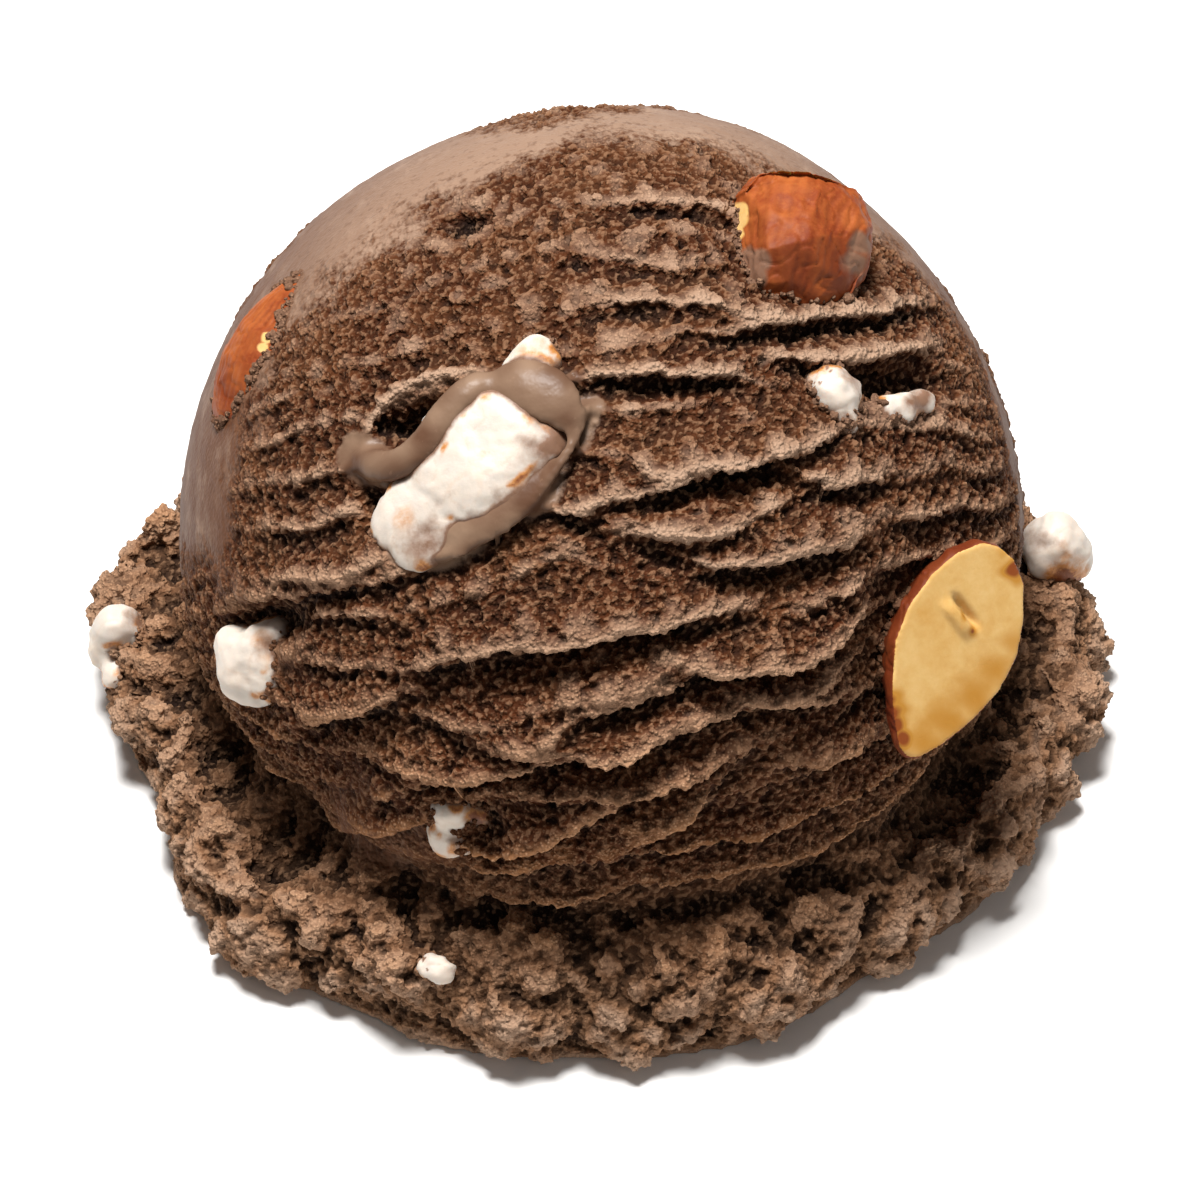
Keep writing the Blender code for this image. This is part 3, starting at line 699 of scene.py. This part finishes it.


# Churned chocolate ice cream: matt and grainy where it tore, closer and a little shiny where the scoop
# pressed it, wet and glossy where it melted. Its colour has painted highlights on the crests, grain tips and
# top, painted shade in the valleys and pits, and painted light towards the bottom.
iceCream = {
    "colours": {
        # painted shade in the valleys and pits
        "deep": "#150803",
        "crumb": "#48220A",
        # painted highlight on the crests; this colour also shows at random where the tone is paler
        "crest": "#9C6C46",
        # painted highlight on the grain tips and on each grain's top
        "grainHighlight": "#CB9D78",
        "skin": "#5E3C28",
        # frosty streaks on the pressed skin, and a painted highlight on its top and on the crests high up
        # and near the foot
        "skinLight": "#A58A75",
        "melt": "#5A3F2F",
        "meltPale": "#8A705B",
        # painted light: lighter towards the bottom
        "low": "#8A6549",
    },
    "grain": {"size": 0.34, "randomness": 1.0, "smoothness": 0.35},
    "patterns": {               # size in mm, detail, roughness
        "fineGrain": (0.7, 3.0, 0.6),
        "tone": (7, 5.0, 0.6),
        "milk": (3.2, 1.0, 0.4),
    },
    "streak": {"perMetre": (900, 260, 260), "detail": 4.0, "roughness": 0.65},
    "steps": {                  # where each colour shows, and how much of it
        # painted highlight on the crests
        "crestHighlight": ("ridgeHeight", 0.3, 1.2),
        "paler": ("tone", 0.45, 0.7, 0.0, 0.15),
        # painted light, stronger towards the bottom
        "low": ("height", 18 * mm, 5 * mm, 0.0, 0.8),
        # painted shade in the valleys and pits
        "valleyShade": ("ridgeHeight", 0.15, -0.7, 0.0, 0.84),
        "pitShade": ("pitHeight", 0.1, -1.2, 0.0, 0.85),
        # painted highlights on the grain tips and on each grain's top, more of them on the crests
        "tipHighlight": ("grainHeight", 0.1, 1.4, 0.0, 0.2),
        "grainTopGlint": ("grain", 0.08, 0.42, 1.0, 0.0),
        "crestGlintShare": ("ridgeHeight", -0.1, 0.8, 0.05, 0.75),
        "grainGlints": ("grainTopGlint", "MULTIPLY", "crestGlintShare"),
        # painted highlight on the crests high up and near the foot
        "highlightTop": ("height", 20 * mm, 46 * mm, 0.0, 0.75),
        "highlightFoot": ("height", 12 * mm, 6 * mm, 0.0, 0.7),
        "highlightHeight": ("highlightTop", "MAXIMUM", "highlightFoot"),
        "highlightCrest": ("ridgeHeight", 0.1, 0.8),
        "topAndFootCrestHighlight": ("highlightHeight", "MULTIPLY", "highlightCrest"),
        "streaked": ("streak", 0.45, 0.72, 0.0, 0.6),
        "frosty": ("tone", 0.4, 0.62),
        "frosted": ("streaked", "MULTIPLY", "frosty"),
        # painted highlight on the pressed skin's top
        "crownHighlight": ("height", 38 * mm, 52 * mm, 0.0, 0.55),
        "tornUneven": ("fineGrain", 0.35, 0.65, -0.3, 0.3),
        "tornRim": ("torn", "ADD", "tornUneven"),
        "tornShown": ("tornRim", 0.15, 0.7),
        "milky": ("milk", 0.3, 0.8),
        "meltUneven": ("fineGrain", 0.3, 0.7, -0.3, 0.15),
        "meltRim": ("melt", "ADD", "meltUneven"),
        "meltShown": ("meltRim", 0.35, 0.75),
        "grainTops": ("grain", 0.0, 0.75, 1.0, 0.0),
        "relief": ("grainTops", "ADD", "fineGrain"),
        "tornRelief": ("torn", 0.1, 0.7, 0.2, 1.0),
        "meltRelief": ("melt", 0.2, 0.8, 1.0, 0.05),
        "reliefShare": ("tornRelief", "MULTIPLY", "meltRelief"),
        "dryness": ("torn", 0.2, 0.8, 0.58, 0.85),
        "wetness": ("melt", 0.3, 0.9),
    },
    "relief": 0.2,              # mm
    "meltRoughness": 0.36,
    "surface": {"Specular IOR Level": 0.13},
}


def iceCreamMaterial():
    material, tree = newMaterial("chocolateIceCream")
    layers = ("torn", "melt", "grainHeight", "pitHeight", "ridgeHeight")
    found = findSources(tree, layers, iceCream["patterns"])
    found["height"] = addNode(tree, "ShaderNodeSeparateXYZ", (("Vector", found["place"]),)).outputs["Z"]
    grain = iceCream["grain"]
    found["grain"] = addNode(tree, "ShaderNodeTexVoronoi", (
        ("Vector", found["place"]), ("Scale", 1 / (grain["size"] * mm)),
        ("Randomness", grain["randomness"]), ("Smoothness", grain["smoothness"]),
    ), feature="SMOOTH_F1").outputs["Distance"]
    streak = iceCream["streak"]
    stretched = addNode(tree, "ShaderNodeMapping", (
        ("Vector", found["place"]), ("Scale", streak["perMetre"]),
    )).outputs["Vector"]
    found["streak"] = addNode(tree, "ShaderNodeTexNoise", (
        ("Vector", stretched), ("Scale", 1.0), ("Detail", streak["detail"]),
        ("Roughness", streak["roughness"]),
    )).outputs["Fac"]
    workOut(tree, found, iceCream["steps"])

    colours = {name: linear(value) for name, value in iceCream["colours"].items()}
    # the torn crumb: painted highlights on the crests, grain tips and grain tops, painted light towards the
    # bottom, painted shade in the valleys and pits
    crumbly = layered(
        tree, colours["crumb"],
        (found["crestHighlight"], colours["crest"]),
        (found["paler"], colours["crest"]),
        (found["low"], colours["low"]),
        (found["valleyShade"], colours["deep"]),
        (found["pitShade"], colours["deep"]),
        (found["tipHighlight"], colours["grainHighlight"]),
        (found["grainGlints"], colours["grainHighlight"]),
        (found["topAndFootCrestHighlight"], colours["skinLight"]),
    )
    # the pressed skin: frosty streaks, and a painted highlight on its top
    pressed = layered(
        tree, colours["skin"],
        (found["frosted"], colours["skinLight"]),
        (found["crownHighlight"], colours["skinLight"]),
    )
    melted = layered(tree, colours["melt"], (found["milky"], colours["meltPale"]))
    colour = layered(tree, pressed, (found["tornShown"], crumbly), (found["meltShown"], melted))
    shader = coatShader(tree, colour, found["relief"], found["reliefShare"],
                        iceCream["relief"], iceCream["surface"])
    wet = (iceCream["meltRoughness"],) * 3 + (1,)
    rough = layered(tree, found["dryness"], (found["wetness"], wet))
    tree.links.new(rough, shader.inputs["Roughness"])
    return material


# Whipped sugar and gelatine: white, matt and a little see-through, browned where it was toasted
# and stained where the ice cream clings to it, with painted shade in its creases.
marsh = {
    "colours": {
        "white": "#D8C8B8",
        "shade": "#C8BDB1",
        # painted shade in the creases
        "fold": "#C39E7C",
        "toast": "#B97D42",
        "burnt": "#7C4119",
        "stain": "#7B5A45",
    },
    "patterns": {"cloud": (2.2, 4.0, 0.6), "fibre": (0.5, 3.0, 0.6)},
    "steps": {
        "clean": ("cloud", 0.4, 0.7),
        "creaseShade": ("crease", 0.2, 1.0, 0.0, 0.18),
        "uneven": ("fibre", 0.3, 0.7, 0.6, 1.2),
        "warm": ("toast", "MULTIPLY", "uneven"),
        "toasted": ("warm", 0.1, 0.6),
        "burnt": ("warm", 0.65, 1.0),
        "patchy": ("cloud", 0.3, 0.65, -0.25, 0.3),
        "clinging": ("stain", "ADD", "patchy"),
        "stained": ("clinging", 0.25, 0.85),
    },
    "reliefShare": 0.35,
    "relief": 0.12,             # mm
    "surface": {
        "Roughness": 0.55,
        "Subsurface Weight": 0.35,
        "Subsurface Radius": (1.0, 0.7, 0.5),
        "Subsurface Scale": 1.2 * mm,
    },
}


def marshmallowMaterial():
    material, tree = newMaterial("toastedMarshmallow")
    found = findSources(tree, ("stain", "toast", "crease"), marsh["patterns"])
    workOut(tree, found, marsh["steps"])
    colours = {name: linear(value) for name, value in marsh["colours"].items()}
    colour = layered(
        tree, colours["shade"],
        (found["clean"], colours["white"]),
        (found["creaseShade"], colours["fold"]),
        (found["toasted"], colours["toast"]),
        (found["burnt"], colours["burnt"]),
        (found["stained"], colours["stain"]),
    )
    coatShader(tree, colour, found["fibre"], marsh["reliefShare"], marsh["relief"], marsh["surface"])
    return material


# Almond: the skin is thin, brown, dry and finely ridged along its length; the kernel is wax-like cream.
# Painted shade darkens the skin in its grooves, at the bottom of the top-right nut and round the split face,
# and turns the split face amber and darker towards its lower right, with a dark slit by the chip.
nut = {
    "colours": {
        "skin": "#7D3411",
        "skinLight": "#A05526",
        # painted shade: the skin's grooves, and where the shade layer darkens it
        "skinDark": "#561D09",
        "kernel": "#D5AF70",
        "kernelDeep": "#C6964E",
        # painted shade on the split face, darker towards its lower right
        "amber": "#B37A26",
        "film": "#7C5F4C",
    },
    "patterns": {"blotch": (2.6, 5.0, 0.65), "fine": (0.35, 3.0, 0.6)},
    "steps": {
        "skinBlotches": ("blotch", 0.35, 0.65),
        # painted shade in the grooves along the nut, and darker towards its ends
        "grooveShade": ("groove", 0.1, 1.0, 0.0, 0.4),
        "scuffed": ("fine", 0.52, 0.72, 0.0, 0.45),
        "skinShade": ("shade", 0.0, 1.0, 0.0, 0.9),
        "kernelBlotches": ("blotch", 0.35, 0.75),
        # painted shade: the split face turns amber and darker where the shade layer is middling, mostly
        # towards its lower right
        "amberShadeShare": ("shade", 0.1, 0.6, 0.0, 0.9),
        # the skin's colour on the split face: patches of skin left on it, and painted shade in the slit by
        # the chip
        "skinPatchesAndChipShade": ("shade", 0.75, 1.1, 0.0, 0.9),
        "bare": ("kernel", 0.4, 0.6),
        "coated": ("film", 0.25, 0.6, 0.0, 0.85),
    },
    "reliefShare": 0.3,
    "relief": 0.1,              # mm
    "surface": {
        "Roughness": 0.6,
        "Specular IOR Level": 0.2,
        "Subsurface Weight": 0.1,
        "Subsurface Radius": (1.0, 0.5, 0.25),
        "Subsurface Scale": 0.8 * mm,
    },
}


def almondMaterial():
    material, tree = newMaterial("almondSkinAndKernel")
    found = findSources(tree, ("kernel", "groove", "shade", "film"), nut["patterns"])
    workOut(tree, found, nut["steps"])
    colours = {name: linear(value) for name, value in nut["colours"].items()}
    skin = layered(
        tree, colours["skin"],
        (found["skinBlotches"], colours["skinLight"]),
        (found["grooveShade"], colours["skinDark"]),
        (found["scuffed"], colours["skinLight"]),
        (found["skinShade"], colours["skinDark"]),
    )
    # the split face, with painted shade towards its lower right and in the slit by the chip, and patches of
    # skin left on it
    kernel = layered(
        tree, colours["kernel"],
        (found["kernelBlotches"], colours["kernelDeep"]),
        (found["amberShadeShare"], colours["amber"]),
        (found["skinPatchesAndChipShade"], colours["skin"]),
    )
    colour = layered(tree, skin, (found["bare"], kernel), (found["coated"], colours["film"]))
    coatShader(tree, colour, found["fine"], nut["reliefShare"], nut["relief"], nut["surface"])
    return material


iceCreamMat = iceCreamMaterial()
marshmallowMat = marshmallowMaterial()
almondMat = almondMaterial()

bodyTree = BVHTree.FromPolygons(
    [tuple(p) for p in readPoints(body.data).tolist()],
    [tuple(f.vertices) for f in body.data.polygons],
)


# Nuts and marshmallow: each starts as a copy of its solid, remeshed fine

def refined(node, voxel, rounding):
    only(frame["nodes"][node])
    bpy.ops.object.duplicate()
    piece = bpy.context.object
    piece.name = node + "_look"
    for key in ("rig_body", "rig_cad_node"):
        if key in piece:
            del piece[key]
    piece.parent = None
    bpy.ops.object.mode_set(mode="EDIT")
    bpy.ops.mesh.select_all(action="SELECT")
    bpy.ops.mesh.remove_doubles(threshold=0.01 * mm)
    bpy.ops.object.mode_set(mode="OBJECT")
    applyModifier(piece, "REMESH", mode="VOXEL", voxel_size=voxel * mm)
    applyModifier(piece, "SMOOTH", iterations=rounding)
    piece.data.materials.clear()
    return piece


def finishPiece(piece, material, slotName, *nodes):
    piece.data.materials.append(material)
    only(piece)
    bpy.ops.object.shade_smooth()
    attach(piece, "root")
    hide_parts(*nodes)


def depthBelowSkin(points):
    # how far each point lies under the ice cream's skin; above it the number is negative
    depth = []
    for p in points.tolist():
        place, normal, _, distance = bodyTree.find_nearest(p)
        inside = (Vector(p) - place).dot(normal) < 0
        depth.append(distance if inside else -distance)
    return np.array(depth)


borders = []                    # where nuts and marshmallow come out of the torn skin


def keepBorder(points, depth):
    near = points[(depth > -0.3 * mm) & (depth < 0.2 * mm)]
    borders.append(near[ribbonNearness(near, 2.2 * mm) < 0.05])


marshmallowSkin = {             # mm, but for the rounding and the fringe
    "voxel": 0.26,
    "rounding": 3,
    "lumps": 0.5,
    "fluff": 0.17,
    "fold": 0.05,
    "fringe": 0.95,             # how strongly the line along the ice cream is toasted
}

# Spots on the face in mm: right, up, size and strength. In mm too, "sink" is how far a piece is
# pushed in, "swell" how far it is puffed out and "shift" how far it is moved right and up the face.
# "flat" is the share that is left of what stands out of the ball.
marshmallows = {
    "marshmallow_centre": {
        "toast": [(-15.2, 0.2, 1.0, 0.45), (-6.4, 2.8, 0.8, 0.5), (-9.0, 5.2, 0.5, 0.3)],
        "stain": [(-1.4, 8.6, 2.6, 1.1), (-2.4, 6.0, 2.4, 1.1), (-3.8, 3.6, 2.2, 1.0), (-6.0, 1.0, 1.8, 0.9),
                  (-9.6, -0.8, 1.6, 0.8), (-13.6, -1.6, 2.0, 0.75)],
        "sink": 0.2,
        "swell": 0.35,
        "flat": 0.6,
    },
    "marshmallow_upper": {
        "toast": [(-5.6, 13.0, 0.9, 0.7)],
        "stain": [(-4.4, 10.2, 1.9, 1.0), (-3.6, 12.0, 1.1, 0.8)],
        "sink": 0.4,
        "shift": (-1.2, -1.2),
    },
    "marshmallow_right_a": {
        "toast": [(17.6, 12.2, 0.7, 0.5)],
        "stain": [(20.2, 11.6, 1.0, 0.8)],
        "sink": 0.7,
    },
    "marshmallow_right_b": {"stain": [(25.8, 10.0, 1.4, 0.9), (23.6, 8.6, 0.7, 0.6)], "sink": 0.5},
    "marshmallow_lower_left": {
        "toast": [(-27.2, -9.4, 0.8, 0.5)],
        "stain": [(-26.8, -9.6, 1.0, 0.8)],
        "sink": 0.8,
    },
    "marshmallow_low": {
        "toast": [(-9.8, -23.6, 1.0, 1.35)],
        "stain": [(-12.6, -28.6, 1.0, 0.7)],
        "sink": 0.1,
    },
    "marshmallow_left_edge": {"toast": [(-41, 2, 1.6, 0.4)], "stain": [(-39.5, -8, 1.4, 0.7)], "sink": 0.3},
    "marshmallow_right_edge": {
        "toast": [(40.4, -4.6, 1.9, 1.4)],
        "stain": [(37.2, -1.0, 1.6, 0.5)],
        "sink": 0.2,
    },
    "marshmallow_bottom": {"sink": 0.2},
    "marshmallow_back_a": {"sink": 0.4},
    "marshmallow_back_b": {"sink": 0.4},
}


def spotsAt(points, spots, kind):
    # the strongest of the soft spots of one kind at each point, with an uneven edge
    right, up, _ = onFace(points)
    uneven = 1 + 0.5 * noiseAt(points, 1.3 * mm, 51)
    total = np.zeros(len(points))
    for spotRight, spotUp, size, power in spots.get(kind, ()):
        apart = np.hypot(right - spotRight * mm, up - spotUp * mm) / (size * mm)
        total = np.maximum(total, power * bell(apart * uneven))
    return total


def makeMarshmallows():
    for node, spots in marshmallows.items():
        piece = refined(node, marshmallowSkin["voxel"], marshmallowSkin["rounding"])
        points = readPoints(piece.data)
        normals = readNormals(piece.data)
        folds = np.abs(noiseAt(points, 3.6 * mm, 31))
        crease = 1 - smoothStep(0.0, 0.06, folds)
        lumps = marshmallowSkin["lumps"] * noiseAt(points, 3.0 * mm, 33)
        fluff = marshmallowSkin["fluff"] * noiseAt(points, 0.9 * mm, 32)
        relief = lumps + fluff - marshmallowSkin["fold"] * crease
        inward = ballCentre - points.mean(axis=0)
        inward /= np.linalg.norm(inward)
        puffed = normals * ((relief + spots.get("swell", 0)) * mm)[:, None]
        points = points + puffed + inward * (spots["sink"] * mm)
        fromBall = points - ballCentre
        distance = np.linalg.norm(fromBall, axis=1)
        above = np.maximum(distance - scoop["radius"], 0) * (1 - spots.get("flat", 1))
        points = points - fromBall * (above / distance)[:, None]
        right, up = spots.get("shift", (0, 0))
        points = points + (faceRight * right + faceUp * up) * mm
        writePoints(piece.data, points)
        depth = depthBelowSkin(points)
        keepBorder(points, depth)
        clinging = smoothStep(-0.6 * mm, 0.15 * mm, depth)
        broken = smoothStep(-0.1, 0.3, noiseAt(points, 1.8 * mm, 61))
        fringe = marshmallowSkin["fringe"] * bell((depth + 0.4 * mm) / (0.36 * mm)) * broken
        writeLayer(piece.data, "stain", np.maximum(clinging, spotsAt(points, spots, "stain")))
        writeLayer(piece.data, "toast", np.maximum(fringe, spotsAt(points, spots, "toast")))
        # the material paints shade along these creases
        writeLayer(piece.data, "crease", crease)
        finishPiece(piece, marshmallowMat, "marshmallow", node)


almondSkin = {
    "voxel": 0.2,               # mm
    "rounding": 8,
    "lines": 30,                # round the nut
    "line": 0.05,               # mm, as the two below
    "wrinkle": 0.34,
    "crease": 0.12,
}

almonds = {                     # spots on the face in mm: right, up, size and strength
    "almond_top_right": {
        "film": [(12.6, 20.9, 1.1, 1.0), (12.4, 19.6, 1.0, 0.9), (20.8, 22.4, 1.1, 0.9),
                 (20.4, 20.9, 1.1, 0.9)],
        "kernel": [(11.1, 24.2, 0.8, 1.0), (10.9, 23.2, 0.8, 1.0), (11.4, 25.2, 0.7, 1.0)],
        # painted shade: darker towards the nut's bottom
        "shade": [(15.4, 20.2, 2.6, 0.8), (18.8, 20.6, 2.4, 0.8), (13.4, 22.0, 1.6, 0.4)],
    },
    "almond_half": {
        # painted shade: the amber band darker towards the lower right and the dark slit by the chip; the
        # brown spot at the top right and the skin left at the lower left are the nut's own colour
        "shade": [(33.4, -3.6, 0.9, 1.4), (32.6, -2.2, 0.7, 0.5), (29.9, -8.6, 0.5, 1.2),
                  (29.2, -7.4, 0.4, 0.9), (26.0, -17.6, 2.2, 0.6), (28.2, -16.0, 2.2, 0.62),
                  (30.2, -14.0, 2.2, 0.62), (32.0, -11.8, 1.9, 0.58), (33.4, -9.6, 1.4, 0.5),
                  (23.1, -14.2, 0.9, 1.3), (23.3, -15.2, 1.1, 1.3), (23.7, -16.2, 1.1, 1.3),
                  (24.3, -17.2, 1.0, 1.3)],
    },
    "almond_left": {
        "film": [(-27.6, 19.4, 0.9, 0.5)],
        "kernel": [(-27.0, 15.2, 0.6, 1.0), (-27.3, 14.3, 0.5, 0.9)],
        "shade": [(-30.4, 11.4, 1.6, 0.5)],
    },
    "almond_back": {},
}

splitNut = {
    "facing": (0.431, -0.73, 0.54),     # the way its flat face looks
    "chipPlace": (29.0, -7.4),          # right and up the face, mm
    "chipTurn": -52,                    # degrees
    "chipHeight": 0.45,                 # mm
    "chipHollow": 0.7,                  # mm
}

chippedEnd = {                  # the nut at the top right is bevelled to both sides of a ridge
    "up": 22.4,                 # mm
    "right": 16,                # mm
    "rise": 0.25,               # up for each step to the right
    "bevel": 0.35,              # in for each step away from the ridge
    "stand": 0.9,               # mm that the ridge stands out
}


def halfKernel(points, normals):
    # 1 on the flat face where the nut was split
    facing = np.array(splitNut["facing"]) / np.linalg.norm(splitNut["facing"])
    height = points @ facing
    top = np.percentile(height, 99.5)
    return smoothStep(0.55, 0.85, normals @ facing) * smoothStep(top - 1.4 * mm, top - 0.9 * mm, height)


def chip(points):
    # a thin shaving that stands up from the split face, with a hollow beside it
    right, up, _ = onFace(points)
    fromRight = right / mm - splitNut["chipPlace"][0]
    fromUp = up / mm - splitNut["chipPlace"][1]
    turn = math.radians(splitNut["chipTurn"])
    along = fromRight * math.cos(turn) + fromUp * math.sin(turn)
    across = fromUp * math.cos(turn) - fromRight * math.sin(turn)
    raised = bell((along / 1.6) ** 2) * bell(((across + 0.35) / 0.6) ** 2)
    hollow = bell((along / 1.5) ** 2) * bell((across - 0.55) / 0.35)
    return (splitNut["chipHeight"] * raised - splitNut["chipHollow"] * hollow) * mm


def makeAlmonds():
    for node, spots in almonds.items():
        piece = refined(node, almondSkin["voxel"], almondSkin["rounding"])
        points = readPoints(piece.data)
        normals = readNormals(piece.data)
        middle = points.mean(axis=0)
        spread = np.linalg.svd((points - middle)[::7], full_matrices=False)[2]
        along = (points - middle) @ spread[0]
        sideways = np.arctan2((points - middle) @ spread[1], (points - middle) @ spread[2])
        wander = noiseAt(points, 6 * mm, 41) * 0.12 + noiseAt(points, 1.6 * mm, 42) * 0.06
        lines = 0.5 + 0.5 * np.cos((sideways + wander) * almondSkin["lines"])
        fade = smoothStep(8.5 * mm, 3 * mm, np.abs(along))
        wrinkles = np.abs(noiseAt(points, 2.6 * mm, 43))
        creases = 1 - smoothStep(0.0, 0.12, np.abs(noiseAt(points, 1.5 * mm, 44)))
        kernel = spotsAt(points, spots, "kernel")
        shade = spotsAt(points, spots, "shade")
        if node == "almond_half":
            kernel = halfKernel(points, normals)
            # painted shade: the skin round the split face is darker
            shade = np.maximum(shade, 0.8 * (1 - kernel))
            points = points + normals * (kernel * chip(points))[:, None]
        if node == "almond_top_right":
            right, up, _ = onFace(points)
            above = up - chippedEnd["up"] * mm - chippedEnd["rise"] * (right - chippedEnd["right"] * mm)
            inFront = smoothStep(0.2, 0.6, normals @ faceOut)
            inward = inFront * (chippedEnd["bevel"] * np.abs(above) - chippedEnd["stand"] * mm)
            points = points - faceOut * inward[:, None]
        relief = (lines - 0.5) * fade * almondSkin["line"] + (0.2 - wrinkles) * almondSkin["wrinkle"]
        relief -= almondSkin["crease"] * creases
        points = points + normals * ((1 - kernel) * relief * mm)[:, None]
        writePoints(piece.data, points)
        keepBorder(points, depthBelowSkin(points))
        # painted shade: darker in the grooves along the nut and towards its ends
        writeLayer(piece.data, "groove", (1 - lines) * fade * (0.3 + wrinkles) + 0.25 * (1 - fade))
        writeLayer(piece.data, "kernel", kernel)
        writeLayer(piece.data, "shade", shade)
        writeLayer(piece.data, "film", spotsAt(points, spots, "film"))
        finishPiece(piece, almondMat, "almond_kernel" if node == "almond_half" else "almond_skin", node)


makeMarshmallows()
makeAlmonds()
say("nuts and marshmallow set in")


# Loose crumbs lie where the skin closes round each nut and marshmallow
looseCrumbs = {
    "count": 1700,
    "smallest": 0.14 * mm,      # radius
    "largest": 0.42 * mm,
    "uneven": 0.16,
    "stretch": (0.75, 1.25),
    "seed": 12,
    # grainHeight and ridgeHeight give the crumbs a little painted highlight on their grains
    "layers": {"torn": 1, "melt": 0, "grainHeight": 0.4, "pitHeight": 0, "ridgeHeight": 0.3},
}


def makeLooseCrumbs():
    draw = np.random.default_rng(looseCrumbs["seed"])
    bpy.ops.object.select_all(action="DESELECT")
    bpy.ops.mesh.primitive_ico_sphere_add(subdivisions=2, radius=1, location=(0, 0, 0))
    crumbs = bpy.context.object
    crumbs.name = "ice_cream_loose_crumbs"
    ball = readPoints(crumbs.data)
    ballFaces = np.array([face.vertices[:] for face in crumbs.data.polygons])
    places = np.concatenate(borders)
    places = places[draw.choice(len(places), looseCrumbs["count"], replace=False)]
    smallest, largest = looseCrumbs["smallest"], looseCrumbs["largest"]
    points = []
    for place in places:
        size = smallest + (largest - smallest) * draw.random() ** 2
        uneven = 1 + looseCrumbs["uneven"] * draw.standard_normal(len(ball))
        stretch = draw.uniform(*looseCrumbs["stretch"], 3)
        points.append(place + ball * uneven[:, None] * stretch * size)
    faces = [ballFaces + number * len(ball) for number in range(len(places))]
    mesh = bpy.data.meshes.new("looseCrumbs")
    mesh.from_pydata(np.concatenate(points).tolist(), [], np.concatenate(faces).tolist())
    crumbs.data = mesh
    for name, value in looseCrumbs["layers"].items():
        writeLayer(mesh, name, np.full(len(mesh.vertices), value))
    finishPiece(crumbs, iceCreamMat, "ice_cream", "ice_cream")


makeLooseCrumbs()
say("loose crumbs scattered")


# The skin is split into wedges, and each is closed by faces that run in to one point

def splitBody():
    mesh = body.data
    mesh.materials.clear()
    sectors = [bpy.data.materials.new(f"wedge{number}") for number in range(scoop["wedges"])]
    for sector in sectors:
        mesh.materials.append(sector)
    centres = np.empty(len(mesh.polygons) * 3)
    mesh.polygons.foreach_get("center", centres)
    centres = centres.reshape(-1, 3)
    azimuth = np.degrees(np.arctan2(centres[:, 0], -centres[:, 1])) + scoop["wedgeTurn"]
    wedge = np.floor((azimuth % 360) / (360 / scoop["wedges"])).astype(np.int32)
    mesh.polygons.foreach_set("material_index", wedge)
    only(body)
    bpy.ops.object.shade_smooth()
    bpy.ops.object.mode_set(mode="EDIT")
    bpy.ops.mesh.select_all(action="SELECT")
    bpy.ops.mesh.separate(type="MATERIAL")
    bpy.ops.object.mode_set(mode="OBJECT")
    pieces = list(bpy.context.selected_objects)
    for number, piece in enumerate(sorted(pieces, key=lambda p: p.name)):
        only(piece)
        bpy.ops.object.mode_set(mode="EDIT")
        bpy.ops.mesh.select_mode(type="EDGE")
        bpy.ops.mesh.select_all(action="DESELECT")
        bpy.ops.mesh.select_non_manifold(use_wire=False, use_multi_face=False,
                                         use_non_contiguous=False, use_verts=False)
        bpy.ops.mesh.mark_sharp()
        bpy.ops.mesh.extrude_edges_move()
        bpy.ops.transform.resize(value=scoop["wedgeCore"], center_override=(0, 0, 0))
        bpy.ops.mesh.extrude_edges_move()
        bpy.ops.mesh.merge(type="CENTER")
        bpy.ops.object.mode_set(mode="OBJECT")
        piece.name = f"ice_cream_wedge_{number}"
        piece.vertex_groups.clear()
        piece.data.materials.clear()
        piece.data.materials.append(iceCreamMat)
        piece.data.polygons.foreach_set("material_index", np.zeros(len(piece.data.polygons), np.int32))
        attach(piece, "root")
        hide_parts("ice_cream")
        say(f"{piece.name}: {len(piece.data.polygons)} faces")
    for sector in sectors:
        bpy.data.materials.remove(sector)


splitBody()


# Floor and light

studio = {
    "floor": "#F2F0ED",
    "floorDrop": 0.05 * mm,
    "aim": (0, 0, 0.025),
    "lamps": {                  # place and size in metres, then watts
        "keyLight": ((-0.05, 0.04, 0.55), 0.16, 5.9),
        "fillLight": ((0.35, -0.4, 0.35), 0.5, 0.3),
    },
    "world": 0.13,
}


def makeStudio():
    bpy.ops.object.select_all(action="DESELECT")
    bpy.ops.mesh.primitive_plane_add(size=3, location=(0, 0, -studio["floorDrop"]))
    floor = bpy.context.object
    floor.name = "studioFloor"
    material, tree = newMaterial("paleStudioFloor")
    shader = tree.nodes["Principled BSDF"]
    shader.inputs["Base Color"].default_value = linear(studio["floor"])
    shader.inputs["Roughness"].default_value = 0.8
    floor.data.materials.append(material)

    for name, (place, size, watts) in studio["lamps"].items():
        bpy.ops.object.light_add(type="AREA", location=place)
        lamp = bpy.context.object
        lamp.name = name
        lamp.data.size = size
        lamp.data.energy = watts
        lamp.rotation_euler = (Vector(place) - Vector(studio["aim"])).to_track_quat("Z", "Y").to_euler()

    world = bpy.data.worlds.new("paleRoom")
    bpy.context.scene.world = world
    world.use_nodes = True
    background = world.node_tree.nodes["Background"]
    background.inputs["Color"].default_value = (1, 1, 1, 1)
    background.inputs["Strength"].default_value = studio["world"]
    bpy.context.scene.view_settings.view_transform = "Standard"


makeStudio()
say("studio lit")
